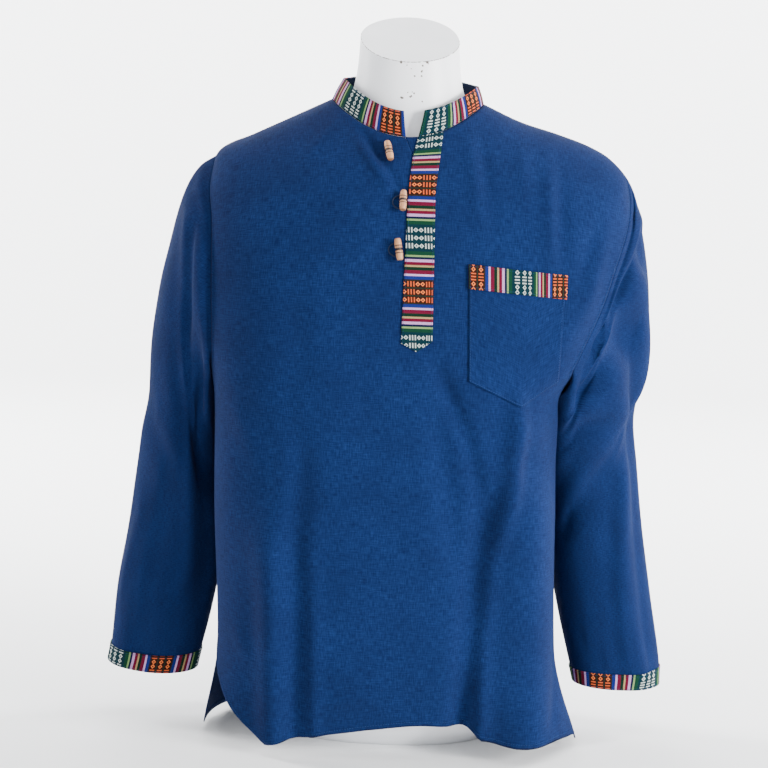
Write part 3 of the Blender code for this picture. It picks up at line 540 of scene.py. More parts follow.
# %% Lines of the sleeves
SLEEVE_COLUMNS = "outer_x outer_z inner_x inner_z middle_y depth front_drop"
SLEEVES = {
    "right": Table(
        SLEEVE_COLUMNS,
        ("armhole", 220, 697, 213, 406, -12, 62, 0),
        ("cap", 241, 684, 219.5, 396, -13, 66, 0),
        ("cap side", 258, 655, 219.5, 377, -3, 70, 0),
        ("upper arm", 276.5, 591, 217.5, 354, 14, 74, 0),
        ("biceps", 290, 533, 215.5, 333, 24, 76, 0),
        ("over the elbow", 297, 468, 213, 310, 32, 73, 1),
        ("elbow", 297.5, 416, 210.5, 285, 36, 69, 2),
        ("under the elbow", 304, 360, 209, 256, 39, 64, 3),
        ("forearm", 314, 296, 208.5, 226, 41, 58, 4),
        ("lower forearm", 324, 235, 209.5, 196, 41, 52, 5),
        ("wrist", 336, 160, 219, 136, 37, 43, 6),
        ("cuff top", 341, 91, 230, 88, 31, 33, 7),
        ("cuff end", 344, 71, 235, 65.5, 30, 31, 7),
    ),
    "left": Table(
        SLEEVE_COLUMNS,
        ("armhole", 234, 706, 190, 413, -20, 75, 0),
        ("cap", 258.5, 687, 193.5, 396, -12, 80, 0),
        ("cap side", 273, 659, 193, 376, 0, 84, 0),
        ("upper arm", 287, 609, 192.5, 356, 10, 86, 0),
        ("biceps", 297, 548, 192, 336, 20, 84, 0),
        ("over the elbow", 300.5, 493, 191.5, 313, 28, 80, 1),
        ("elbow", 296.5, 438, 191.5, 288, 34, 74, 2),
        ("under the elbow", 290, 390, 192, 260, 38, 68, 2),
        ("forearm", 296, 338, 193, 233, 41, 60, 3),
        ("lower forearm", 304, 273, 196.5, 203, 41, 53, 3),
        ("wrist", 319.5, 178, 208, 148, 36, 43, 4),
        ("cuff top", 335, 86, 225, 82, 30, 33, 4),
        ("cuff end", 335, 64, 229.5, 64.5, 29, 31, 4),
    ),
}
SLEEVE_ROWS = (
    *(0.5, 1, 1.5, 2, 2.5, 3, 3.6, 4.2, 4.8, 5.4, 6),
    *(6.6, 7.2, 8, 8.8, 9.4, 10, 10.5, 11, 11.5, 12),
)
CUFF_TOP = 11.0  # the row where the cuff begins
SLEEVE_SETTLES = 3.0  # rows over which the armhole's shape gives way to the sleeve's own
print("rows of each sleeve", SLEEVES["left"].last + 1)

# %% Folds and creases of the sleeves
ROW_SPAN = 18.0  # degrees that one row counts for, in a fold's width
FOLDS_START = (1.0, 3.0)  # rows over which they grow from nothing
SLEEVE_FOLDS = {
    "right": (
        ("trough behind the body", (2.4, 122), (5.0, 138), 24, -0.014),
        ("trough over the upper arm", (1.5, 50), (4.8, 95), 20, -0.010),
        ("ridge at the elbow", (5.6, 30), (7.4, 20), 22, 0.005),
        ("trough down the forearm", (8.0, 75), (11.0, 70), 16, -0.003),
        ("back trough", (2.0, 250), (8.0, 270), 26, -0.010),
    ),
    "left": (
        ("upper drag fold", (1.8, 60), (5.6, 30), 14, 0.007),
        ("lower drag fold", (2.2, 105), (6.4, 60), 16, 0.008),
        ("trough between them", (2.0, 84), (6.0, 46), 12, -0.010),
        ("trough over the elbow crease", (7.0, 20), (7.2, 130), 14, -0.007),
        ("ridge down the forearm", (7.8, 55), (10.8, 58), 17, 0.006),
        ("back trough", (2.0, 262), (8.0, 280), 26, -0.010),
    ),
}
SLEEVE_CREASES = {
    "right": (
        ("fullness of the cap", (0.6, 335), (1.0, 20), 30, 0.0034),
        ("pull from the shoulder", (1.3, 16), (0.6, 50), 6, -0.0026),
        ("streak down the upper arm", (1.4, 48), (3.6, 96), 8, -0.0040),
        ("ridge outside that streak", (1.8, 40), (4.2, 84), 8, 0.0034),
        ("hollow beside the body", (5.6, 126), (9.2, 142), 18, -0.0050),
        ("edge of the hollow", (3.2, 88), (9.0, 114), 9, 0.0030),
        ("level wrinkle at the cuff", (10.2, 62), (10.1, 100), 4, 0.0016),
        ("level wrinkle over it", (9.7, 60), (9.6, 84), 4, 0.0010),
        ("elbow wrinkle", (6.2, 50), (6.4, 84), 7, 0.0020),
        ("second elbow wrinkle", (7.0, 20), (7.3, 60), 8, 0.0020),
        ("lower crease", (8.6, 40), (9.6, 30), 8, 0.0020),
        ("back elbow wrinkle", (6.4, 220), (6.8, 290), 9, 0.0028),
        ("back upper wrinkle", (3.4, 230), (4.8, 300), 10, 0.0028),
        ("back forearm wrinkle", (8.6, 240), (9.2, 300), 9, 0.0020),
    ),
    "left": (
        ("top of the cap", (0.8, 345), (1.4, 15), 22, -0.0012),
        ("groove under the seam", (0.6, 34), (0.55, 100), 6, -0.0034),
        ("first drag fold", (2.3, 24), (1.3, 66), (0.9, 100), 7, 0.0040),
        ("dip under it", (2.8, 34), (2.0, 62), (1.6, 86), (1.2, 110), 8, -0.0056),
        ("second drag fold", (3.4, 44), (2.8, 66), (2.3, 92), (1.6, 120), 8, 0.0050),
        ("dip under the second", (4.1, 54), (3.0, 98), (1.8, 132), 8, -0.0056),
        ("third drag fold", (4.7, 64), (3.5, 106), (2.3, 136), 8, 0.0040),
        ("edge over the elbow crease", (3.3, 126), (5.7, 64), 7, 0.0036),
        ("elbow crease", (3.8, 126), (6.2, 66), 7, -0.0044),
        ("fold under the elbow crease", (4.2, 128), (6.9, 66), 9, 0.0024),
        ("cloth pushed against the body", (0.8, 160), (1.8, 154), (4.2, 150), 18, 0.0095),
        ("ridge down the forearm, moved out", (6.9, 46), (10.4, 74), 9, 0.0034),
        ("dip beside that ridge", (7.2, 26), (10.4, 46), 10, -0.0030),
        ("fullness at the underarm", (1.0, 170), (4.6, 178), 26, 0.0070),
        ("level wrinkle at the cuff", (10.7, 50), (10.7, 100), 4, 0.0014),
        ("wrinkle over the cuff", (10.2, 84), (10.3, 120), 4, 0.0012),
        ("back elbow wrinkle", (6.4, 220), (6.8, 290), 9, 0.0028),
        ("back upper wrinkle", (3.2, 230), (4.6, 300), 10, 0.0028),
        ("back forearm wrinkle", (8.4, 240), (9.2, 300), 9, 0.0020),
    ),
}
for side, folds in SLEEVE_FOLDS.items():
    print(side, "sleeve: folds", len(folds), "creases", len(SLEEVE_CREASES[side]))


# %% Points of a sleeve
def sleeve_ring(side, row, turn):
    """A point of the plain sleeve: an oval between its outer and inner lines."""
    rows = SLEEVES[side]
    radians = np.radians(turn)
    outward, ahead = np.cos(radians), np.sin(radians)
    outer_x, inner_x = rows.size("outer_x", row), rows.size("inner_x", row)
    outer_z, inner_z = rows.size("outer_z", row), rows.size("inner_z", row)
    x = (outer_x + inner_x) / 2 + (outer_x - inner_x) / 2 * outward
    z = (outer_z + inner_z) / 2 + (outer_z - inner_z) / 2 * outward
    y = rows.size("middle_y", row) - rows.size("depth", row) * ahead
    z = z - rows.size("front_drop", row) * ahead
    return np.stack([SIDES[side] * x, y, z], -1)


def smooth_sleeve(side, row, turn):
    """The sleeve, which starts as the armhole's own outline."""
    row, turn = np.broadcast_arrays(np.asarray(row, float), np.asarray(turn, float))
    armhole = shirt(*armhole_place(side, turn))
    start = sleeve_ring(side, np.zeros(row.shape), turn)
    settled = smooth(0, SLEEVE_SETTLES, row)[..., None]
    return sleeve_ring(side, row, turn) + (armhole - start) * (1 - settled)


SLEEVE_STEPS = (0.05, 1.0)  # in rows and in degrees, between the points that give a normal


def sleeve(side, row, turn):
    """The sleeve's outer surface, folds included, and its normal."""
    row, turn = np.broadcast_arrays(np.asarray(row, float), np.asarray(turn, float))

    def plain(at_row, at_turn):
        return smooth_sleeve(side, at_row, at_turn)

    def folded(at_row, at_turn):
        normal, _ = surface_normal(plain, at_row, at_turn, *SLEEVE_STEPS)
        normal = normal * -SIDES[side]
        height = np.zeros(at_row.shape)
        for _, start, end, width, rise in SLEEVE_FOLDS[side]:
            first, last = (start[0] * ROW_SPAN, start[1]), (end[0] * ROW_SPAN, end[1])
            near = distance_to_stroke(at_row * ROW_SPAN, at_turn, first, last)
            height = height + rise * np.exp(-((near / width) ** 2))
        height = height * smooth(*FOLDS_START, at_row)
        return plain(at_row, at_turn) + normal * height[..., None]

    normal, _ = surface_normal(folded, row, turn, *SLEEVE_STEPS)
    return folded(row, turn), normal * -SIDES[side]


for side in SIDES:
    print(side, "sleeve ends at", sleeve(side, SLEEVES[side].last, 0.0)[0].round(3))

# %% [markdown]
# ## From a surface to a piece of cloth
#
# A piece of cloth is a closed wall: its outer sheet, its inner sheet and the narrow rim
# between them. Solidify could add the wall, but made by hand it is exactly as thick as the
# solid that it dresses. The flat layout of the piece is kept as a UV map in metres, so a weave
# printed on it has its real size, and two attributes tell how far each point lies from a hem
# and from a seam, for the doubled cloth there.

# %% Grids and pieces
DETAIL = 6  # rows and columns of the fine cloth for each one of the solid
SEAM = 0.3 * MM
CLOTH, TRIM, FACING = 1.2 * MM, 1.2 * MM, 1.0 * MM
FAR_AWAY = 0.05


def grid_quads(rows, columns, closed=False, left_out=()):
    """Quads of a grid of points, row by row; a cell in left_out has none."""
    quads = []
    for row in range(rows - 1):
        for column in range(columns if closed else columns - 1):
            if (row, column) in left_out:
                continue
            beside = (column + 1) % columns
            a, b = row * columns + column, row * columns + beside
            quads.append((a, a + columns, b + columns, b))
    return quads


def add_piece(name, mesh, finish):
    mesh.materials.append(finish)
    made = bpy.data.objects.new(name, mesh)
    bpy.context.collection.objects.link(made)
    return made


def keep_attribute(mesh, name, values):
    made = mesh.attributes.new(name, "FLOAT", "POINT")
    made.data.foreach_set("value", np.asarray(values, np.float32))


print("wall of the cloth in mm", CLOTH / MM)


# %% A wall of cloth from two sheets
def cloth_wall(name, outer, inner, quads, flat, finish, around=None, **away):
    """A closed wall between two sheets; around is a tube's girth, where its layout wraps."""
    outer, inner, flat = outer.reshape(-1, 3), inner.reshape(-1, 3), flat.reshape(-1, 2)
    used, packed = np.unique(np.array(quads), return_inverse=True)
    quads = packed.reshape(-1, 4)
    count = len(used)
    corners = outer[used[quads]]
    facing = np.cross(corners[:, 2] - corners[:, 0], corners[:, 3] - corners[:, 1])
    if (facing * (outer - inner)[used[quads[:, 0]]]).sum() < 0:
        quads = quads[:, ::-1]
    start, end = quads.ravel(), np.roll(quads, -1, 1).ravel()
    rim = ~np.isin(start * count + end, end * count + start)
    start, end = start[rim], end[rim]
    rims = np.stack([end, start, start + count, end + count], 1)
    faces = np.concatenate([quads, quads[:, ::-1] + count, rims])
    mesh = bpy.data.meshes.new(name)
    mesh.from_pydata(np.concatenate([outer[used], inner[used]]).tolist(), [], faces.tolist())
    mesh.shade_smooth()
    layout = np.concatenate([flat[used], flat[used]])[faces]
    if around is not None:
        u = layout[..., 0]
        wraps = (u.max(1) - u.min(1) > around / 2)[:, None] & (u < u.min() + around / 2)
        layout[..., 0] = np.where(wraps, u + around, u)
    mesh.uv_layers.new(name="flat").data.foreach_set("uv", layout.reshape(-1))
    for edge in ("hem", "seam"):
        values = away.get(edge, np.full(len(outer), FAR_AWAY)).ravel()
        keep_attribute(mesh, edge, np.tile(values[used], 2))
    made = add_piece(name, mesh, finish)
    area = 0.5 * float(np.linalg.norm(facing, axis=1).sum())
    print(f"{name}: {2 * len(faces)} triangles, {area * 1e4:.0f} square cm")
    return made


# %% [markdown]
# ## Laying a piece flat
#
# Cloth is woven flat, so its threads must run straight on the flat layout and bend with the
# folds on the body. Blender's unwrap keeps angles or areas but knows no grain. Here each point
# finds the flat place that best keeps the length and direction of the threads next to it.

# %% Laying a piece flat
def lengths_along(point, axis):
    """Running length of each line of points along an axis of their grid."""
    step = np.linalg.norm(np.diff(point, axis=axis), axis=-1)
    return np.pad(np.cumsum(step, axis), [(1, 0) if k == axis else (0, 0) for k in (0, 1)])


def flat_layout(point):
    """Metres across from the first column and up from the last row, for each point of a grid."""
    across, down = lengths_along(point, 1), lengths_along(point, 0)
    return np.stack([across, down[-1:] - down], -1)


LAYING_ROUNDS = 400  # steps of the search for the flat place of each point
NO_SIZE = 1e-30  # keeps a finished search from dividing by nothing
ON_TOP = (0.15, 0.7)  # slopes over which a thread's course is told from above, not from the side


def edge_sums(place, steps, weight):
    """For each point of a grid, how far its edges are from the wanted steps, added up."""
    total = np.zeros_like(place)
    for axis in (0, 1):
        miss = (np.diff(place, axis=axis) - steps[axis]) * weight[axis]
        before = tuple(slice(None, -1) if k == axis else slice(None) for k in (0, 1))
        after = tuple(slice(1, None) if k == axis else slice(None) for k in (0, 1))
        total[after] += miss
        total[before] -= miss
    return total


def grain_layout(point, across, up):
    """A grid laid flat with its grain kept: across and up are the grain's directions on it.

    The flat places are those whose steps differ least from the steps along the grain, found by
    conjugate gradients, so that the shear of the cloth is shared out over the whole panel.
    """
    between = [np.diff(point, axis=axis) for axis in (0, 1)]
    grain = np.stack([across, up], -1)
    halfway = [(grain[1:] + grain[:-1]) / 2, (grain[:, 1:] + grain[:, :-1]) / 2]
    steps = [np.einsum("ijk,ijkl->ijl", *pair) for pair in zip(between, halfway)]
    lengths = [np.linalg.norm(each, axis=-1).mean() for each in between]
    weight = [lengths[1] / lengths[0], lengths[0] / lengths[1]]
    place = np.stack([lengths_along(point, 1), -lengths_along(point, 0)], -1)
    bare = [0.0, 0.0]
    left = -edge_sums(place, steps, weight)
    way, size = left.copy(), (left * left).sum((0, 1))
    for _ in range(LAYING_ROUNDS):
        turned = edge_sums(way, bare, weight)
        stride = size / np.maximum((way * turned).sum((0, 1)), NO_SIZE)
        place += way * stride
        left -= turned * stride
        size, last = (left * left).sum((0, 1)), size
        way = left + way * (size / np.maximum(last, NO_SIZE))
    middle = place.shape[1] // 2
    return place - place[-1:, middle : middle + 1]


def body_grain(normal, facing):
    """Directions of weft and warp on the front (facing 1) or back (facing -1)."""
    level = unit(np.cross((0.0, 0.0, 1.0), normal))
    straight = unit(np.array((facing, 0.0, 0.0)) - normal * (normal[..., :1] * facing))
    on_top = smooth(*ON_TOP, abs(normal[..., 2:]))
    across = unit(level * (1 - on_top) + straight * on_top)
    return across, unit(np.cross(normal, across))


def trim_layout(along, across, orange_at, pair_at, drift=0.0):
    """Places on the woven strip: along it from an orange middle, and across it from a motif."""
    along = along - orange_at
    return np.stack(np.broadcast_arrays(along, across - pair_at - drift * along), -1)


print("steps to lay a panel flat", LAYING_ROUNDS)

# %% [markdown]
# ## The cotton
#
# The real cloth is a plain handloom weave in indigo. Its yarn is uneven: thick places, called
# slubs, run for a centimetre or so in the warp and in the weft, and dye a little paler or
# deeper than the rest. Two stretched noises give the slubs of the two directions, and their
# mean sets the tone. The product of two sine waves gives the threads, at right angles on the
# flat layout, so the weave bends with each fold. The cloth is matt; a little sheen stands for
# the fine hairs of cotton. Near a hem and beside a seam the cloth lies double, which shows as a
# soft step in the bump.

# %% Sums of the plain weave
THREAD_PITCH = 1.2  # mm; the real one has a thread each half millimetre, too fine to show
HEM_DEPTH, SEAM_DEPTH, LAP_SOFTNESS = 6.0 * MM, 5.0 * MM, 0.8 * MM
DYE_CLOUDS = 14.0  # to a metre: a slow change of the dye over 70 mm
SLUBS = (
    # name, and how many there are to a metre across and along: 1.1 mm wide and about 10 mm long
    ("warp slubs", (900.0, 110.0, 1.0)),
    ("weft slubs", (90.0, 900.0, 1.0)),
)
WEAVE_SUMS = (
    # name, sum and what goes into it, in mm
    ("warp", "MULTIPLY", "u", 1000 * 2 * math.pi / THREAD_PITCH),
    ("weft", "MULTIPLY", "v", 1000 * 2 * math.pi / THREAD_PITCH),
    ("warp drift", "MULTIPLY", "weft slubs", 5.0),
    ("weft drift", "MULTIPLY", "warp slubs", 5.0),
    ("drifting warp", "ADD", "warp", "warp drift"),
    ("drifting weft", "ADD", "weft", "weft drift"),
    ("warp wave", "SINE", "drifting warp", 0.0),
    ("weft wave", "SINE", "drifting weft", 0.0),
    ("weave", "MULTIPLY", "warp wave", "weft wave"),
    ("fine weave", "MULTIPLY", "weave", 0.05),
    ("both slubs", "ADD", "warp slubs", "weft slubs"),
    ("yarns", "MULTIPLY", "both slubs", 0.5),
    ("slubs", "ADD", "yarns", "fine weave"),
    ("bold weave", "MULTIPLY", "weave", 0.3),
    ("threads", "ADD", "yarns", "bold weave"),
)
print("cotton threads drawn every", THREAD_PITCH, "mm")


# %% Indigo handloom cotton
def cotton(name, deep, middle, pale):
    """Matt cotton with a plain weave and slubs, in three tones of its dye."""
    made, tree, shader = new_finish(name, middle, 0.92)
    flat = node(tree, "ShaderNodeUVMap", uv_map="flat").outputs["UV"]
    axes = node(tree, "ShaderNodeSeparateXYZ", {"Vector": flat})
    at = {"u": axes.outputs[0], "v": axes.outputs[1]}
    for slubs, per_metre in SLUBS:
        spread = node(tree, "ShaderNodeMapping", {"Vector": flat, "Scale": per_metre}).outputs[0]
        noise = node(tree, "ShaderNodeTexNoise", {"Vector": spread, "Scale": 1.0, "Detail": 2.0})
        at[slubs] = noise.outputs[0]
    for result, operation, *terms in WEAVE_SUMS:
        sockets = {place: at.get(term, term) for place, term in enumerate(terms)}
        at[result] = node(tree, "ShaderNodeMath", sockets, operation=operation).outputs[0]
    cloudy = node(tree, "ShaderNodeTexNoise", {"Vector": flat, "Scale": DYE_CLOUDS, "Detail": 3.0})
    tone = node(tree, "ShaderNodeMapRange", {"Value": at["slubs"], "From Min": 0.36, "From Max": 0.68})
    tones = {0: tone.outputs[0], 6: linear(middle), 7: linear(pale)}
    dyed = node(tree, "ShaderNodeMix", tones, data_type="RGBA")
    clouds = {"Value": cloudy.outputs[0], "From Min": 0.35, "From Max": 0.75, "To Max": 0.35}
    uneven = node(tree, "ShaderNodeMapRange", clouds)
    deepened = {0: uneven.outputs[0], 6: dyed.outputs[2], 7: linear(deep)}
    base = node(tree, "ShaderNodeMix", deepened, data_type="RGBA")
    tree.links.new(base.outputs[2], shader.inputs["Base Color"])
    steps = []
    for attribute, depth in (("hem", HEM_DEPTH), ("seam", SEAM_DEPTH)):
        away = node(tree, "ShaderNodeAttribute", attribute_name=attribute)
        ends = {"From Min": depth - LAP_SOFTNESS, "From Max": depth + LAP_SOFTNESS}
        step = {"Value": away.outputs["Fac"], **ends, "To Min": 1.0, "To Max": 0.0}
        step = node(tree, "ShaderNodeMapRange", step, interpolation_type="SMOOTHSTEP")
        steps.append(step.outputs[0])
    double = node(tree, "ShaderNodeMath", {0: steps[0], 1: steps[1]}, operation="MAXIMUM")
    lap = {"Height": double.outputs[0], "Strength": 0.8, "Distance": 0.0012}
    lap = node(tree, "ShaderNodeBump", lap).outputs[0]
    weave = {"Height": at["threads"], "Strength": 0.5, "Distance": 0.0004, "Normal": lap}
    weave = node(tree, "ShaderNodeBump", weave)
    tree.links.new(weave.outputs[0], shader.inputs["Normal"])
    shader.inputs["Sheen Weight"].default_value = 0.01
    shader.inputs["Sheen Roughness"].default_value = 0.5
    shader.inputs["Specular IOR Level"].default_value = 0.06
    return made


COTTON = cotton("Indigo handloom cotton", "#070e2a", "#0a163a", "#162c58")
FACING_COTTON = cotton("Navy cotton of the facing", "#050a16", "#080f20", "#101a30")
print("cotton nodes", len(COTTON.node_tree.nodes))

# %% [markdown]
# ## The woven trim
#
# The trim is a band woven in Himalayan stripes: three rows of orange motifs on brown, stripes of
# blue, lilac, crimson, green and yellow, then three rows of white motifs, and back the same way.
# Each row repeats a pair of hollow diamonds and three bars across the cloth. An image could carry
# it, but a chart of sums stays sharp from near: distance along the strip folds back at each
# middle, a colour ramp with hard steps gives the stripes, and a few sums give the motifs. The
# trim is packed tighter than the shirt's cloth, so it looks flatter, with fine ribs and figures
# that stand a little proud.

# %% Stripes and figures of the trim
HALF_REPEAT = 60.0  # mm from the middle of the orange rows to the middle of the white rows
STRIPES = (
    # where each starts, in mm from the orange middle, and its colour
    (0.0, "#2a120e"),
    (13.7, "#162468"),
    (17.5, "#b996c2"),
    (19.8, "#5e0e2a"),
    (24.0, "#0b2619"),
    (27.6, "#9c845c"),
    (29.6, "#5e0c26"),
    (33.2, "#b48cb8"),
    (36.2, "#0e1430"),
    (38.9, "#74905a"),
    (41.0, "#093624"),
    (45.0, "#05262e"),
)
ORANGE_ROWS, WHITE_ROWS, ROW_PITCH = 13.2, 14.2, 8.8
DIAMOND, DIAMOND_RISE, MOTIF_PITCH = 5.9, 2.6, 22.4  # each hollow diamond's width and half height
DIAMOND_EYE = 0.42  # share of a diamond that is left hollow
BARS_FROM, BARS_TO, BAR_PITCH, BAR_GAP, BAR_HALF = 12.0, 22.35, 3.45, 0.95, 2.9
LINE_FROM = 3.9  # mm from a row's middle where the line between two orange rows starts
RIB_PITCH = 0.9  # mm; the real ribs lie closer than the render can show
FIGURES_RAISED = 1.5  # as many ribs' height
YARN_TONES = 900.0  # to a metre: yarns about a millimetre apart are lighter or darker
TRIM_SUMS = (
    ("along", "MULTIPLY", "u", 1000.0),
    ("across", "MULTIPLY", "v", 1000.0),
    ("from orange", "PINGPONG", "along", HALF_REPEAT),
    ("from white", "SUBTRACT", HALF_REPEAT, "from orange"),
    ("stripe", "DIVIDE", "from orange", HALF_REPEAT),
    ("is orange", "LESS_THAN", "from orange", ORANGE_ROWS),
    ("is white", "LESS_THAN", "from white", WHITE_ROWS),
    ("in rows", "MAXIMUM", "is orange", "is white"),
    ("from middle", "MINIMUM", "from orange", "from white"),
    ("from row", "PINGPONG", "from middle", ROW_PITCH / 2),
    ("place", "FLOORED_MODULO", "across", MOTIF_PITCH),
    ("zigzag", "PINGPONG", "place", DIAMOND / 2),
    ("sideways", "SUBTRACT", DIAMOND / 2, "zigzag"),
    ("sideways share", "DIVIDE", "sideways", DIAMOND / 2),
    ("upright share", "DIVIDE", "from row", DIAMOND_RISE),
    ("diamond", "ADD", "sideways share", "upright share"),
    ("inside", "LESS_THAN", "diamond", 1.0),
    ("outside eye", "GREATER_THAN", "diamond", DIAMOND_EYE),
    ("is pair", "LESS_THAN", "place", 2 * DIAMOND),
    ("ring", "MULTIPLY", "inside", "outside eye"),
    ("diamonds", "MULTIPLY", "ring", "is pair"),
    ("past pair", "GREATER_THAN", "place", BARS_FROM),
    ("before end", "LESS_THAN", "place", BARS_TO),
    ("to bars", "SUBTRACT", "place", BARS_FROM),
    ("bar wave", "PINGPONG", "to bars", BAR_PITCH / 2),
    ("on bar", "GREATER_THAN", "bar wave", BAR_GAP),
    ("bar length", "LESS_THAN", "from row", BAR_HALF),
    ("bar", "MULTIPLY", "on bar", "bar length"),
    ("first bars", "MULTIPLY", "bar", "past pair"),
    ("bars", "MULTIPLY", "first bars", "before end"),
    ("shapes", "ADD", "diamonds", "bars"),
    ("motif", "MULTIPLY", "shapes", "in rows"),
    ("between rows", "GREATER_THAN", "from row", LINE_FROM),
    ("line", "MULTIPLY", "between rows", "is orange"),
    ("ribs", "MULTIPLY", "along", 2 * math.pi / RIB_PITCH),
    ("ends", "MULTIPLY", "across", 2 * math.pi / RIB_PITCH),
    ("rib wave", "SINE", "ribs", 0.0),
    ("end wave", "SINE", "ends", 0.0),
    ("threads", "MULTIPLY", "rib wave", "end wave"),
    ("raised", "MULTIPLY", "motif", FIGURES_RAISED),
    ("relief", "ADD", "raised", "threads"),
)
TRIM_COLOURS = (
    # name, what chooses between the two, and the two: a colour or a name above
    ("warm", "bars", "#d9703a", "#c4552c"),
    ("figure", "is white", "warm", "#b9c2bd"),
    ("lined", "line", "ground", "#1a2e22"),
    ("drawn", "motif", "lined", "figure"),
)
print("trim: stripes", len(STRIPES), "half repeat", HALF_REPEAT, "mm")


# %% Woven trim
def woven_trim():
    """The striped trim, read from the strip's own layout: along it, then across it."""
    made, tree, shader = new_finish("Woven striped trim", "#7a3a40", 0.85)
    flat = node(tree, "ShaderNodeUVMap", uv_map="flat").outputs["UV"]
    axes = node(tree, "ShaderNodeSeparateXYZ", {"Vector": flat})
    at = {"u": axes.outputs[0], "v": axes.outputs[1]}
    for result, operation, *terms in TRIM_SUMS:
        sockets = {place: at.get(term, term) for place, term in enumerate(terms)}
        at[result] = node(tree, "ShaderNodeMath", sockets, operation=operation).outputs[0]
    ramp = node(tree, "ShaderNodeValToRGB", {0: at["stripe"]})
    ramp.color_ramp.interpolation = "CONSTANT"
    steps = ramp.color_ramp.elements
    steps.remove(steps[1])
    for start, colour in STRIPES:
        step = steps.new(start / HALF_REPEAT) if start else steps[0]
        step.color = linear(colour)
    at["ground"] = ramp.outputs[0]
    for result, share, first, second in TRIM_COLOURS:
        pair = (linear(each) if each[0] == "#" else at[each] for each in (first, second))
        mixed = node(tree, "ShaderNodeMix", {0: at[share], **dict(zip((6, 7), pair))}, data_type="RGBA")
        at[result] = mixed.outputs[2]
    uneven = node(tree, "ShaderNodeTexNoise", {"Vector": flat, "Scale": YARN_TONES, "Detail": 2.0})
    shades = {"From Min": 0.3, "From Max": 0.7, "To Min": 0.72, "To Max": 1.12}
    shade = node(tree, "ShaderNodeMapRange", {"Value": uneven.outputs[0], **shades})
    both = {0: 1.0, 6: at["drawn"], 7: shade.outputs[0]}
    tinted = node(tree, "ShaderNodeMix", both, data_type="RGBA", blend_type="MULTIPLY")
    tree.links.new(tinted.outputs[2], shader.inputs["Base Color"])
    bump = node(tree, "ShaderNodeBump", {"Height": at["relief"], "Strength": 0.5, "Distance": 0.0003})
    tree.links.new(bump.outputs[0], shader.inputs["Normal"])
    shader.inputs["Sheen Weight"].default_value = 0.01
    shader.inputs["Specular IOR Level"].default_value = 0.08
    return made


WOVEN_TRIM = woven_trim()
print("trim nodes", len(WOVEN_TRIM.node_tree.nodes))

# %% [markdown]
# ## Paint
#
# The form is a cast shell with satin white paint: smooth, but not a mirror, with a faint orange
# peel. The paint is worn through at the rim of its cap and chipped at the neck's front, where
# the dull shell shows. Noise alone would chip it anywhere, so each chip has a place and a size,
# and noise only makes its edge ragged.

# %% Chips in the paint
CHIPS = (
    # ring and degrees from the front of each chip in the neck's paint, and its radius in mm
    (0.03, -10, 1.5),
    (0.10, -3, 0.6),
    (0.20, 2, 0.7),
    (0.03, 20, 1.6),
    (0.12, 15, 1.1),
    (0.30, 14, 1.2),
    (0.44, 14, 0.9),
    (0.42, 6, 1.0),
    (0.92, 4, 0.6),
    (0.94, -1, 0.7),
    (0.96, 6, 0.8),
    (1.05, 3, 0.9),
    (1.08, 2, 1.0),
    (1.12, -8, 1.0),
    (1.14, -7, 1.2),
    (1.30, 15, 0.9),
)
CHIP_DEPTH = 1.02  # at a chip's middle; it falls with distance, and at about half the paint ends
FLAKES = 420.0  # to a metre: patches of about 2.4 mm, as of the peel
CLOUDS = 18.0  # to a metre: a slow change of tone over 55 mm


def form_surface(ring, angle):
    """The form: rings of a torso, of which the top ones lie in the plane that cuts the neck."""
    return ring_point(FORM, ring, angle, 1 + smooth(0, 1, ring))


print("chips", len(CHIPS))


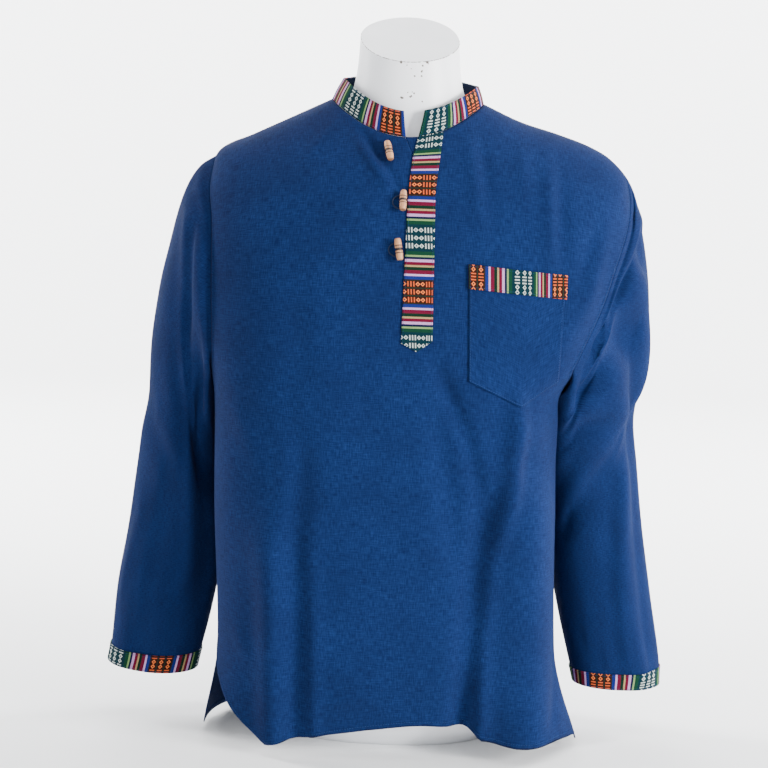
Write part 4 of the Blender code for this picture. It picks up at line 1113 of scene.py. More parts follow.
# %% Satin paint on a cast shell
def painted_shell():
    made, tree, shader = new_finish("White satin paint on a cast shell", "#f6f7fa", 0.4)
    place = node(tree, "ShaderNodeTexCoord").outputs["Object"]
    wear = node(tree, "ShaderNodeAttribute", attribute_name="wear").outputs["Fac"]
    flakes = {"Vector": place, "Scale": FLAKES, "Detail": 2.0, "Roughness": 0.6}
    flakes = node(tree, "ShaderNodeTexNoise", flakes).outputs[0]
    worn = node(tree, "ShaderNodeMath", {0: wear, 1: flakes}, operation="MULTIPLY").outputs[0]
    for ring, angle, radius in CHIPS:
        middle = tuple(form_surface(np.array(ring), np.radians(angle)))
        reach = node(tree, "ShaderNodeVectorMath", {0: place, 1: middle}, operation="DISTANCE")
        spot = reach.outputs["Value"]
        for operation, *terms in (
            ("DIVIDE", None, radius * MM),
            ("MULTIPLY", None, flakes),
            ("SUBTRACT", CHIP_DEPTH, None),
            ("MAXIMUM", worn, None),
        ):
            sockets = {k: spot if term is None else term for k, term in enumerate(terms)}
            spot = node(tree, "ShaderNodeMath", sockets, operation=operation).outputs[0]
        worn = spot
    chip = node(tree, "ShaderNodeMapRange", {"Value": worn, "From Min": 0.47, "From Max": 0.55}).outputs[0]
    cloudy = node(tree, "ShaderNodeTexNoise", {"Vector": place, "Scale": CLOUDS, "Detail": 3.0})
    tones = {0: cloudy.outputs[0], 6: linear("#eceef3"), 7: linear("#fafbfd")}
    white = node(tree, "ShaderNodeMix", tones, data_type="RGBA")
    chipped = {0: chip, 6: white.outputs[2], 7: linear("#5a524b")}
    base = node(tree, "ShaderNodeMix", chipped, data_type="RGBA")
    rough = node(tree, "ShaderNodeMapRange", {"Value": chip, "To Min": 0.4, "To Max": 0.85})
    peel = node(tree, "ShaderNodeTexNoise", {"Vector": place, "Scale": FLAKES, "Detail": 1.0})
    sunk = node(tree, "ShaderNodeMath", {0: peel.outputs[0], 1: chip}, operation="SUBTRACT")
    bump = node(tree, "ShaderNodeBump", {"Height": sunk.outputs[0], "Strength": 0.25, "Distance": 0.0004})
    tree.links.new(base.outputs[2], shader.inputs["Base Color"])
    tree.links.new(rough.outputs[0], shader.inputs["Roughness"])
    tree.links.new(bump.outputs[0], shader.inputs["Normal"])
    return made


WHITE_PAINT = painted_shell()
print("paint nodes", len(WHITE_PAINT.node_tree.nodes))

# %% [markdown]
# ## Turned wood
#
# The toggles are turned from pale wood, rubbed smooth and a little glossy, with the grain along
# the barrel. The turner burns the waist dark, and one groove on each side of it.
# A noise stretched along the barrel gives the grain, and a ramp read from the barrel's middle
# gives the burnt places, a faint darker band beside the waist and darker ends, so the finish follows the
# turning.

# %% Turned wood with burnt grooves
TOGGLE_LENGTH = 25.0 * MM
WOOD_GRAIN = (1500.0, 90.0, 1.0)  # to a metre: streaks 0.7 mm wide and 11 mm long
WAIST = 0.09  # share of the half length that is burnt right through the middle
BURNT_AND_DARKER = (
    # share of the half length from the middle, and how dark the wood is made there
    # a faint darker band beside the waist
    (0.12, 0.3),
    (0.27, 0.12),
    # a burnt groove
    (0.295, 0.9),
    (0.36, 0.9),
    (0.385, 0.0),
    (0.90, 0.0),
    # darker towards the ends
    (1.0, 0.6),
)


def turned_wood():
    made, tree, shader = new_finish("Turned pale wood with burnt grooves", "#b8845e", 0.5)
    flat = node(tree, "ShaderNodeUVMap", uv_map="flat").outputs["UV"]
    length = node(tree, "ShaderNodeSeparateXYZ", {"Vector": flat}).outputs[1]
    grain = node(tree, "ShaderNodeMapping", {"Vector": flat, "Scale": WOOD_GRAIN})
    grain = node(tree, "ShaderNodeTexNoise", {"Vector": grain.outputs[0], "Scale": 1.0, "Detail": 3.0})
    from_middle = node(tree, "ShaderNodeMath", {0: length}, operation="ABSOLUTE").outputs[0]
    share = node(tree, "ShaderNodeMapRange", {"Value": from_middle, "From Max": TOGGLE_LENGTH / 2})
    # the ramp darkens the burnt waist and grooves, a faint band beside the waist, and the ends
    burnt = node(tree, "ShaderNodeValToRGB", {0: share.outputs[0]})
    stops = burnt.color_ramp.elements
    stops[0].position, stops[0].color = 0.0, (1, 1, 1, 1)
    stops[1].position, stops[1].color = WAIST, (1, 1, 1, 1)
    for place, value in BURNT_AND_DARKER:
        stops.new(place).color = (value, value, value, 1)
    tones = {0: grain.outputs[0], 6: linear("#8e5c3c"), 7: linear("#cf9a6e")}
    wood = node(tree, "ShaderNodeMix", tones, data_type="RGBA")
    darkened = {0: burnt.outputs[0], 6: wood.outputs[2], 7: linear("#241612")}
    base = node(tree, "ShaderNodeMix", darkened, data_type="RGBA")
    bump = node(tree, "ShaderNodeBump", {"Height": grain.outputs[0], "Strength": 0.3, "Distance": 0.0003})
    tree.links.new(base.outputs[2], shader.inputs["Base Color"])
    tree.links.new(bump.outputs[0], shader.inputs["Normal"])
    return made


WOOD = turned_wood()
print("stops of the burnt ramp", len(BURNT_AND_DARKER) + 2)

# %% [markdown]
# ## Cord and thread
#
# The loops are twisted cotton cord and the seams are sewn with cotton thread. Both are spun from
# fine fibres, which scatter light and leave no sharp highlight. A noise finer than a millimetre
# breaks up the colour and the bump; the twist itself is in the loops' mesh.

# %% Spun cord and thread
def spun_yarn(name, dark, light, fibres):
    """Cord or thread, whose colour is broken up by so many fibres to a metre."""
    made, tree, shader = new_finish(name, light, 0.85)
    place = node(tree, "ShaderNodeTexCoord").outputs["Object"]
    hairs = node(tree, "ShaderNodeTexNoise", {"Vector": place, "Scale": fibres, "Detail": 2.0})
    tones = {0: hairs.outputs[0], 6: linear(dark), 7: linear(light)}
    base = node(tree, "ShaderNodeMix", tones, data_type="RGBA")
    bump = node(tree, "ShaderNodeBump", {"Height": hairs.outputs[0], "Strength": 0.4, "Distance": 0.0003})
    tree.links.new(base.outputs[2], shader.inputs["Base Color"])
    tree.links.new(bump.outputs[0], shader.inputs["Normal"])
    shader.inputs["Specular IOR Level"].default_value = 0.2
    return made


CORD_FINISH = spun_yarn("Twisted dark cotton cord", "#0c1426", "#26324e", 1800.0)
THREAD = spun_yarn("Navy sewing thread", "#0c1d40", "#234478", 2500.0)
print("finishes", len(bpy.data.materials))

# %% [markdown]
# ## Front and back
#
# Front and back are one panel each, cut straight, with a side vent at the hem. The front has a
# slot at the neck for the opening, and a narrow strip of the same cotton lies in it. Both follow
# the same rings, so they meet at the seams, and each is drawn in there by half a seam. At the
# armhole their walls turn halfway to the sleeve's, so no step shows.

# %% Rows, columns and the slot
SLOT_RINGS = (0.0, 0.5, 1.0)
SLOT_RIGHT_X = (-2.0 * MM, 7.5 * MM, 12.0 * MM)
SLOT_LEFT_X = (27.0 * MM, 26.0 * MM, 26.0 * MM)
NECK_ROWS, ARMHOLE_ROWS, SIDE_ROWS, VENT_ROWS = (DETAIL * rows for rows in (7, 11, 9, 4))
FRONT_COLUMNS, SLOT_COLUMNS, BACK_COLUMNS = DETAIL * 11, DETAIL * 3, DETAIL * 9
SLOT_ROW = DETAIL * 5
print("columns of the front", 2 * FRONT_COLUMNS + SLOT_COLUMNS, "and of the back", 2 * BACK_COLUMNS)


# %% The armhole's seam
def armhole_seam(side):
    """Points, shared wall directions and sleeve-ward directions of the armhole seam."""
    turn = np.arange(2 * ARMHOLE_ROWS) * 180 / ARMHOLE_ROWS
    ring, angle = armhole_place(side, turn)
    point = shirt(ring, angle)
    panel_normal, _ = surface_normal(shirt, ring, angle)
    along = unit(np.roll(point, -1, 0) - np.roll(point, 1, 0))
    leaving = sleeve(side, 0.5, turn)[0] - point
    sleeve_normal = unit(np.cross(along, leaving))
    outward = point - point.mean(0)
    sleeve_normal *= np.sign((sleeve_normal * outward).sum(-1, keepdims=True))
    normal = unit(panel_normal + sleeve_normal)
    toward = unit(np.cross(along, normal))
    toward *= np.sign((toward * leaving).sum(-1, keepdims=True))
    return point, normal, toward


print("points round an armhole", 2 * ARMHOLE_ROWS)


# %% The grids of the panels
def body_rows():
    """Ring numbers of the panels' rows, from the neckline to the hem."""
    stretches = (
        (0, ARMHOLE_TOP, NECK_ROWS),
        (ARMHOLE_TOP, UNDERARM, ARMHOLE_ROWS),
        (UNDERARM, VENT_TOP, SIDE_ROWS),
        (VENT_TOP, HEM, VENT_ROWS),
    )
    rows = [np.linspace(start, end, count + 1)[:-1] for start, end, count in stretches]
    return np.append(np.concatenate(rows), HEM)


def slot_angles(rows):
    right = angle_at(rows, np.interp(rows, SLOT_RINGS, SLOT_RIGHT_X))
    left = angle_at(rows, np.interp(rows, SLOT_RINGS, SLOT_LEFT_X))
    return right, left


def panel_angles(panel):
    """The angle of each column of the front or back, row by row."""
    rows = body_rows()
    right, left = panel_edge(rows, panel, "right"), panel_edge(rows, panel, "left")
    if panel == "front":
        slot_right, slot_left = slot_angles(rows)
        share = np.linspace(0, 1, FRONT_COLUMNS + 1)[None]
        first = right[:, None] + (slot_right - right)[:, None] * share
        second = slot_left[:, None] + (left - slot_left)[:, None] * share
        between = np.linspace(0, 1, SLOT_COLUMNS + 1)[None, 1:-1]
        between = slot_right[:, None] + (slot_left - slot_right)[:, None] * between
        angle = np.concatenate([first, between, second], 1)
    else:
        share = np.linspace(0, 1, 2 * BACK_COLUMNS + 1)[None]
        angle = left[:, None] + (right + 2 * math.pi - left)[:, None] * share
    return angle


def panel_grid(panel):
    """Outer points and wall directions of the front or back, edges drawn in for the seams."""
    angle = panel_angles(panel)
    ring = body_rows()[:, None] + 0 * angle
    point = shirt(ring, angle)
    normal, around = surface_normal(shirt, ring, angle)
    edges = (("right", 0), ("left", -1)) if panel == "front" else (("left", 0), ("right", -1))
    first_row = NECK_ROWS
    for side, column in edges:
        inward = 1.0 if column == 0 else -1.0
        point[:, column] += around[:, column] * inward * SEAM / 2
        seam, shared, toward = armhole_seam(side)
        step = 1 if panel == "front" else -1
        for down in range(ARMHOLE_ROWS + 1):
            place = (step * down) % (2 * ARMHOLE_ROWS)
            corner = down in (0, ARMHOLE_ROWS)
            start = point[first_row + down, column] if corner else seam[place]
            point[first_row + down, column] = start - toward[place] * SEAM / 2
            normal[first_row + down, column] = shared[place]
    return point, normal


def away_from_edges(point):
    """Distance of each point of a panel from its hem and vents, and from its seams."""
    down, across = lengths_along(point, 0), lengths_along(point, 1)
    to_side = np.minimum(across, across[:, -1:] - across)
    vent = np.arange(len(point))[:, None] >= len(point) - 1 - VENT_ROWS
    hem = np.minimum(down[-1:] - down, np.where(vent, to_side, FAR_AWAY))
    return {"hem": hem.clip(0, FAR_AWAY), "seam": np.where(vent, FAR_AWAY, to_side).clip(0, FAR_AWAY)}


print("rows of the panels", len(body_rows()))

# %% Front, back and the strip in the slot
front_point, front_normal = panel_grid("front")
slot_end = NECK_ROWS + SLOT_ROW
slot_columns = range(FRONT_COLUMNS, FRONT_COLUMNS + SLOT_COLUMNS)
slot = {(row, column) for row in range(slot_end) for column in slot_columns}
front_flat = grain_layout(front_point, *body_grain(front_normal, 1.0))
front = cloth_wall(
    "front_panel",
    front_point,
    front_point - front_normal * CLOTH,
    grid_quads(*front_point.shape[:2], left_out=slot),
    front_flat,
    COTTON,
    **away_from_edges(front_point),
)
back_point, back_normal = panel_grid("back")
back = cloth_wall(
    "back_panel",
    back_point,
    back_point - back_normal * CLOTH,
    grid_quads(*back_point.shape[:2]),
    grain_layout(back_point, *body_grain(back_normal, -1.0)),
    COTTON,
    **away_from_edges(back_point),
)
strip_end = FRONT_COLUMNS + SLOT_COLUMNS + 1
strip = front_point[: slot_end + 1, FRONT_COLUMNS:strip_end].copy()
strip_normal = front_normal[: slot_end + 1, FRONT_COLUMNS:strip_end]
strip_across = unit(strip[:, -1] - strip[:, 0])
strip[:, 0] += strip_across * SEAM
strip[:, -1] -= strip_across * SEAM
strip[-1] += unit(strip[-2] - strip[-1]) * SEAM
under_placket = cloth_wall(
    "under_placket_strip",
    strip,
    strip - strip_normal * CLOTH,
    grid_quads(slot_end + 1, SLOT_COLUMNS + 1),
    front_flat[: slot_end + 1, FRONT_COLUMNS:strip_end],
    COTTON,
)

# %% [markdown]
# ## Sleeves and cuffs
#
# A sleeve is one piece, set flat into the armhole and closed under the arm. The tube starts on
# the armhole's own points, a few rows lead over to the sleeve's surface, and the cap is evened
# out like cloth under its own weight. The fine creases come last. A cuff is a band of trim
# that lies on the last rows.

# %% Rows of a sleeve
SEAM_BLEND = 4  # extra rows between the seam and the first row of the solid
CAP_HANGS, CAP_ROUNDS = (1.2, 3.2), 60  # rows over which the cap is let hang, and how softly
CREASES_START = (0.0, 0.9)  # rows over which the fine creases grow from nothing
SEWN_ROWS = (0.0, 0.5)  # rows over which the wall leaves the seam's direction
CUFF_ORANGE = {"left": 111.0, "right": 101.5}  # turn at which a cuff's orange rows have their middle
CUFF_PAIR = {"left": -3.0 * MM, "right": 4.5 * MM}


def sleeve_grid(side):
    """Rows, points and wall directions of a sleeve, from its seam to its end."""
    seam, shared, toward = armhole_seam(side)
    turn = np.arange(2 * ARMHOLE_ROWS) * 180 / ARMHOLE_ROWS
    coarse = np.array(SLEEVE_ROWS, float)
    steps = np.linspace(0, len(coarse) - 1, (len(coarse) - 1) * (DETAIL - 1) + 1)
    rows = np.interp(steps, np.arange(len(coarse)), coarse)
    blend = np.linspace(0, 1, SEAM_BLEND + 2)[:-1]
    rows = np.concatenate([blend * coarse[0], rows])
    point, normal = sleeve(side, rows[:, None], turn[None])
    leaves = np.concatenate([1 - blend, np.zeros(len(rows) - len(blend))])[:, None, None]
    point = point + toward[None] * SEAM / 2 * leaves
    point[0] = seam + toward * SEAM / 2
    normal = unit(normal * (1 - leaves) + shared[None] * leaves)
    hangs = (1 - smooth(*CAP_HANGS, rows))[1:-1, None, None]
    for _ in range(CAP_ROUNDS):
        point[1:-1] += hangs * ((point[:-2] + point[2:]) / 2 - point[1:-1])
    height = np.zeros(point.shape[:2])
    for _, *path, width, rise in SLEEVE_CREASES[side]:
        path = [(row * ROW_SPAN, turned) for row, turned in path]
        near = []
        for whole in (-360, 0, 360):
            for ends in zip(path, path[1:]):
                near.append(distance_to_stroke(rows[:, None] * ROW_SPAN, turn[None] + whole, *ends))
        height += rise * np.exp(-((np.min(near, 0) / width) ** 2))
    point += normal * (height * smooth(*CREASES_START, rows)[:, None])[..., None]
    return rows, point, grid_normal(point, normal, rows)


def grid_normal(point, like, rows):
    """Normals of a tube's grid, kept as they are at its sewn edge and turned the same way."""
    down = np.gradient(point, axis=0)
    around = np.roll(point, -1, 1) - np.roll(point, 1, 1)
    normal = unit(np.cross(down, around))
    normal *= np.sign((normal * like).sum(-1, keepdims=True))
    sewn = (1 - smooth(*SEWN_ROWS, rows))[:, None, None]
    return unit(normal * (1 - sewn) + like * sewn)


def tube_layout(point):
    """Metres around from the first column and down from the first row, and the girth."""
    around = np.linalg.norm(np.roll(point, -1, 1) - point, axis=-1)
    girth = float(around.sum(1).mean())
    u = np.pad(np.cumsum(around, 1), ((0, 0), (1, 0)))
    return u[:, :-1] / u[:, -1:] * girth, lengths_along(point, 0), girth


print("rows from a sleeve's seam to its first ring", SEAM_BLEND + 1)

# %% Sleeves and cuffs
sleeves, cuffs, cuff_grids = {}, {}, {}
for side in SIDES:
    rows, point, normal = sleeve_grid(side)
    around, down, girth = tube_layout(point)
    quads = grid_quads(*point.shape[:2], closed=True)
    middle = point.mean(1, keepdims=True)
    run = unit(np.gradient(middle, axis=0)) * -1.0
    up = unit(run - normal * (run * normal).sum(-1, keepdims=True))
    flat = grain_layout(point, unit(np.cross(up, normal)) * SIDES[side], up)
    closing = np.abs(flat[:, -1:, 0]) + around[:, :1] + (girth - around[:, -1:])
    flat[..., 0] = np.abs(flat[..., 0]) * girth / closing
    wall = point - normal * CLOTH
    sleeves[side] = cloth_wall(f"sleeve_cloth_{side}", point, wall, quads, flat, COTTON, girth)
    band = rows >= CUFF_TOP
    point, normal = point[band], normal[band]
    around, down, girth = tube_layout(point)
    orange = np.interp(CUFF_ORANGE[side] / 360 * point.shape[1], np.arange(point.shape[1]), around[0])
    flat = trim_layout(around, down, orange, CUFF_PAIR[side])
    quads = grid_quads(*point.shape[:2], closed=True)
    outer, inner = point + normal * (SEAM + TRIM), point + normal * SEAM
    cuffs[side] = cloth_wall(f"cuff_band_{side}", outer, inner, quads, flat, WOVEN_TRIM, girth)
    cuff_grids[side] = outer, normal
    print(side, "cuff girth in mm", round(girth / MM), "height", round(float(down[-1].mean()) / MM, 1))

# %% [markdown]
# ## Collar
#
# The collar is a straight band of trim, turned up along the neckline and faced with navy cotton.
# Its foot follows the folded shirt and its top edge a ring of its own, so the cloth carries it.
# Its two ends part a little towards the top. Marks say which place of the strip shows where.

# %% The collar's surface
COLLAR_ROWS, COLLAR_COLUMNS, COLLAR_STEP = 3, 40, 0.05
COLLAR_LIFT = 0.35 * MM  # between the neckline and the band's foot
COLLAR_BOW = 0.8 * MM  # how far the band bulges at half its height
COLLAR_END_RIGHT = -1.0  # degrees from the front where the band's two ends stand, at its foot
COLLAR_END_LEFT = 8.5
COLLAR_SPREAD = (2.5, 5.0)  # degrees by which the right and left end open towards the top
COLLAR_SPREADS = 40.0  # degrees of the band, at each end, that take part in the spread
COLLAR_PAIR, COLLAR_DRIFT = 2.0 * MM, 0.013
COLLAR_MARKS = (
    # mm from the collar's left end round the back to its right end, and mm on the strip
    (0.0, -78.8),
    (18.8, -60.0),
    (75.5, 0.0),
    (346.0, 240.0),
    (411.2, 300.0),
    (463.3, 360.0),
    (480.2, 377.5),
)


def collar_point(share, angle):
    """The collar band's outer surface, from its foot (0) to its top edge (1)."""
    foot = shirt(0.0 * share, angle)
    tangent = unit(shirt(0.0 * share, angle) - shirt(0.0 * share + COLLAR_STEP, angle))
    foot = foot + tangent * COLLAR_LIFT
    top = ring_point(COLLAR, COLLAR.last + 0 * share, angle)
    bow = COLLAR_BOW * np.sin(math.pi * share)[..., None] * unit(foot * (1, 1, 0))
    return foot * (1 - share[..., None]) + top * share[..., None] + bow


def collar_grid():
    """The collar's outer points and normals; its columns spread towards its two ends."""
    right, left = math.radians(COLLAR_END_RIGHT), math.radians(COLLAR_END_LEFT)
    foot = np.linspace(left, right + 2 * math.pi, COLLAR_COLUMNS * DETAIL + 1)
    share = np.linspace(0, 1, COLLAR_ROWS * DETAIL + 1)[:, None]
    reach = math.radians(COLLAR_SPREADS)
    open_right, open_left = (math.radians(spread) for spread in COLLAR_SPREAD)
    angle = foot[None] + open_left * share * np.clip(1 - (foot - foot[0]) / reach, 0, 1)
    angle = angle - open_right * share * np.clip(1 - (foot[-1] - foot) / reach, 0, 1)
    share = share + 0 * angle
    point = collar_point(share, angle)
    normal, _ = surface_normal(collar_point, share, angle)
    return point, -normal


collar_outer, collar_normal = collar_grid()
print("grid of the collar", collar_outer.shape[:2])

# %% Collar and its facing
collar_along, collar_up = lengths_along(collar_outer, 1), lengths_along(collar_outer, 0)
collar_along = np.tile(collar_along.mean(0), (len(collar_along), 1))
print("collar length in mm", round(float(collar_along[0, -1]) / MM))
on_collar, on_strip = np.array(COLLAR_MARKS).T * MM
collar_strip = np.interp(collar_along, on_collar, on_strip)
collar_flat = trim_layout(collar_strip, collar_up[-1:] - collar_up, 0.0, COLLAR_PAIR, COLLAR_DRIFT)
collar_quads = grid_quads(*collar_outer.shape[:2])
collar = cloth_wall(
    "collar_band", collar_outer, collar_outer - collar_normal * TRIM, collar_quads, collar_flat, WOVEN_TRIM
)
near, far = TRIM + SEAM, TRIM + SEAM + FACING
facing = cloth_wall(
    "collar_inner_facing",
    collar_outer - collar_normal * near,
    collar_outer - collar_normal * far,
    collar_quads,
    flat_layout(collar_outer),
    FACING_COTTON,
)

# %% [markdown]
# ## Pieces that lie on the front
#
# The placket, the pocket and its band are flat patches. Each is drawn as seen from the front,
# between a few cross lines, and every point is then carried straight back until it meets the
# front's cloth, so the patch takes on the folds under it. Shrinkwrap could do that too, but here
# the same grid also gives the layout of the trim.

# %% Outlines of the patches
PLACKET_BEND_Z = 0.660
PLACKET_RIGHT_X = ((0.7240, 12.9 * MM), (0.6980, 7.2 * MM), (0.6600, 3.0 * MM))
PLACKET_BOTTOM = ((0.9 * MM, 0.4910), (18.9 * MM, 0.4815), (36.4 * MM, 0.4940))
PLACKET_TOP_LEFT = (41.5 * MM, 0.7280)
PLACKET_BEND_LEFT = (34.0 * MM, PLACKET_BEND_Z)
POCKET = ((74.7, 580.7), (185.8, 571.0), (182.3, 450.2), (140.4, 421.2), (78.9, 450.0))
BAND = ((73.9, 581.5), (186.8, 571.8), (186.8, 544.8), (74.9, 554.5))
PLACKET_ORANGE_Z, PLACKET_PAIR, PLACKET_DRIFT = 0.5489, 14.6 * MM, 0.096
BAND_PAIR, BAND_DRIFT = -4.0 * MM, -0.04
# mm along the band, and mm on the strip
BAND_MARKS = ((0.0, -5.5), (64.0, 60.0), (105.0, 120.0), (125.0, 140.0))
PLACKET_COLUMNS, POCKET_COLUMNS, BAND_COLUMNS = 24, 60, 76
print("corners of the pocket", len(POCKET), "and of its band", len(BAND))

# %% Carrying a patch back to the front
PATCH_SPACING, NECKLINE_STEP, IN_FRONT = 1.5 * MM, 0.1 * MM, 0.6
front_tree = BVHTree.FromPolygons(
    front_point.reshape(-1, 3).tolist(), grid_quads(*front_point.shape[:2])
)


def meet_front(x, z):
    """The front's outermost point behind an x and z, or none above the neckline."""
    return front_tree.ray_cast(Vector((x, -IN_FRONT, z)), Vector((0, 1, 0)))[0]


def under_neckline(x, z):
    """The same z, or the highest one below it at which the front is met."""
    while meet_front(x, z) is None:
        z -= NECKLINE_STEP
    return z


def front_place(x, z):
    """Points and outward normals of the front at each x and z, found by halving the ring."""
    low, high = np.zeros(np.shape(x)), np.full(np.shape(x), HEM)
    for _ in range(HALVINGS):
        ring = (low + high) / 2
        above = ring_point(SHIRT, ring, angle_at(ring, x))[..., 2] > z
        low, high = np.where(above, ring, low), np.where(above, high, ring)
    angle = angle_at(ring, x)
    return shirt(ring, angle), surface_normal(shirt, ring, angle)[0]


def between_lines(lines, columns, spacing):
    """A grid of (x, z) between cross lines, each a row of corners (x, z) from right to left."""
    share = np.linspace(0, 1, columns + 1)
    rungs = []
    for line in lines:
        line = np.array(line, float)
        reach = (line[:, 0] - line[0, 0]) / (line[-1, 0] - line[0, 0])
        rungs.append(np.stack([np.interp(share, reach, line[:, k]) for k in (0, 1)], -1))
    rungs[0] = np.array([(x, under_neckline(x, z)) for x, z in rungs[0]])
    rows = [rungs[0][None]]
    for upper, lower in zip(rungs, rungs[1:]):
        count = max(1, round(float(np.linalg.norm(lower - upper, axis=-1).max() / spacing)))
        f = np.linspace(0, 1, count + 1)[1:, None, None]
        rows.append(upper[None] * (1 - f) + lower[None] * f)
    return np.concatenate(rows)


def lay_on_front(name, lines, columns, lift, finish, layout):
    """A patch of cloth on the front: the piece, its outer points and their normals."""
    grid = between_lines(lines, columns, PATCH_SPACING)
    point = np.array([[meet_front(x, z) for x, z in row] for row in grid])
    normal = unit(np.cross(np.gradient(point, axis=0), np.gradient(point, axis=1)))
    normal = np.where(normal[..., 1:2] > 0, -normal, normal)
    outer = point + normal * (lift + CLOTH)
    wall = (outer, point + normal * lift)
    quads = grid_quads(*point.shape[:2])
    return cloth_wall(name, *wall, quads, layout(grid, point), finish), outer, normal


print("middle of the chest", front_place(0.0, SHIRT.size("front_z", 6))[0].round(3))


# %% Places on the strip
def placket_layout(grid, point):
    """Along the strip from its second orange middle, and across it from its right edge."""
    middle = point.shape[1] // 2
    run = lengths_along(point, 0)[:, middle]
    bend = run[np.argmin(abs(grid[:, middle, 1] - PLACKET_BEND_Z))]
    below = grid[..., 1] < PLACKET_BEND_Z
    along = np.where(below, bend + PLACKET_BEND_Z - grid[..., 1], run[:, None])
    orange = bend + PLACKET_BEND_Z - PLACKET_ORANGE_Z
    return trim_layout(along, lengths_along(point, 1), orange, PLACKET_PAIR, PLACKET_DRIFT)


def band_layout(grid, point):
    """Along the strip, whose stripes lie closer towards the armhole, and down from its top."""
    on_band, on_strip = np.array(BAND_MARKS).T * MM
    along = np.interp(lengths_along(point, 1), on_band, on_strip)
    return trim_layout(along, lengths_along(point, 0), 0.0, BAND_PAIR, BAND_DRIFT)


print("marks on the pocket's band", len(BAND_MARKS))

# %% Placket, pocket and its band
top_right, mid_right, bend_right = ((x, z) for z, x in PLACKET_RIGHT_X)
mid_share = (mid_right[1] - PLACKET_BEND_Z) / (top_right[1] - PLACKET_BEND_Z)
mid_left = tuple(b + (t - b) * mid_share for t, b in zip(PLACKET_TOP_LEFT, PLACKET_BEND_LEFT))
placket_lines = (
    (top_right, PLACKET_TOP_LEFT),
    (mid_right, mid_left),
    (bend_right, PLACKET_BEND_LEFT),
    PLACKET_BOTTOM,
)
placket, *placket_grid = lay_on_front(
    "placket_strip", placket_lines, PLACKET_COLUMNS, SEAM, WOVEN_TRIM, placket_layout
)
pocket_corners = [(x * MM, z * MM) for x, z in POCKET]
band_corners = [(x * MM, z * MM) for x, z in BAND]
pocket, *pocket_grid = lay_on_front(
    "chest_pocket_patch",
    (pocket_corners[:2], pocket_corners[:1:-1]),
    POCKET_COLUMNS,
    SEAM,
    COTTON,
    lambda grid, point: flat_layout(point),
)
band, *band_grid = lay_on_front(
    "pocket_band_strip",
    (band_corners[:2], band_corners[:1:-1]),
    BAND_COLUMNS,
    SEAM + CLOTH + SEAM,
    WOVEN_TRIM,
    band_layout,
)

# %% [markdown]
# ## Toggles
#
# A toggle is turned on a lathe, so its mesh is one profile carried round an axis, as the Screw
# modifier would do. Here the rings are made in code, because the same tube function serves the
# cords and the form. The upper toggle hangs undone; the lower two lie on their loops.

# %% Sizes of the toggles
TOGGLES = {1: (-20.2 * MM, 0.703, -10.0), 2: (-2.6 * MM, 0.6480, 3.0), 3: (-5.2 * MM, 0.5950, -9.0)}
TOGGLE_RADIUS = 4.2 * MM
LOOPED = (2, 3)
CORD = 1.7 * MM  # thickness of the loops' cord
LOOP_HEIGHT = 16.0 * MM
TOGGLE_OVER_LOOP = 2.15 * MM
TOGGLE_OVER_CLOTH = 0.5 * MM
CORD_OVER_CLOTH = 0.4 * MM
LOOP_REACH = 11.5 * MM  # past the toggle's middle, to the wearer's right
TOGGLE_PROFILE = (
    # height as a share of the length, and radius in mm
    (0.5, 2.3),
    (0.498, 2.7),
    (0.48, 3.15),
    (0.44, 3.5),
    (0.36, 3.8),
    (0.25, 4.1),
    (0.185, 4.18),
    (0.176, 3.95),
    (0.155, 3.92),
    (0.146, 4.2),
    (0.10, 4.2),
    (0.062, 4.15),
    (0.05, 3.6),
    (0.02, 3.3),
    (0.0, 3.25),
)
print("toggle length in mm", TOGGLE_LENGTH / MM, "loops", len(LOOPED))


# %% A closed tube through rings of points
def tube_mesh(name, rings):
    """A smooth closed tube through rings of points, with its length and girth as its layout."""
    count, around = rings.shape[:2]
    faces = grid_quads(count, around, closed=True)
    ends = [tuple(range(around)), tuple(range((count - 1) * around, count * around))[::-1]]
    mesh = bpy.data.meshes.new(name)
    mesh.from_pydata(rings.reshape(-1, 3).tolist(), [], faces + ends)
    middle = rings.mean(1)
    along = np.concatenate([[0], np.cumsum(np.linalg.norm(np.diff(middle, axis=0), axis=-1))])
    along = along - along[-1] / 2
    girth = float(np.linalg.norm(np.roll(rings, -1, 1) - rings, axis=-1).sum(1).max())
    turn = np.arange(around) / around * girth
    layout = np.stack(np.broadcast_arrays(turn[None], along[:, None]), -1).reshape(-1, 2)
    corners = layout[np.array(faces)]
    wraps = (np.ptp(corners[..., 0], axis=1) > girth / 2)[:, None] & (corners[..., 0] < girth / 2)
    corners[..., 0] = np.where(wraps, corners[..., 0] + girth, corners[..., 0])
    ends_layout = np.concatenate([layout[list(end)] for end in ends])
    flat = np.concatenate([corners.reshape(-1, 2), ends_layout])
    mesh.uv_layers.new(name="flat").data.foreach_set("uv", flat.reshape(-1))
    mesh.shade_smooth()
    mesh.update()
    return mesh


def facing_out(rings):
    """The same rings, turned over if a tube through them would face inwards."""
    spokes = rings[0] - rings[0].mean(0)
    run = rings[1].mean(0) - rings[0].mean(0)
    wound = np.cross(spokes[0], spokes[1]) @ run
    return rings if wound < 0 else rings[:, ::-1]


print("corners of the toggle's profile", 2 * len(TOGGLE_PROFILE) - 1)


# %% Toggles
TOGGLE_TURNS = 40


def toggle_frame(number):
    """Where a toggle lies: the cloth's point and normal, and the barrel's own direction."""
    x, z, lean = TOGGLES[number]
    point, normal = front_place(x, z)
    upright = np.array((math.sin(math.radians(lean)), 0, math.cos(math.radians(lean))))
    return point, normal, unit(upright - normal * (upright @ normal))


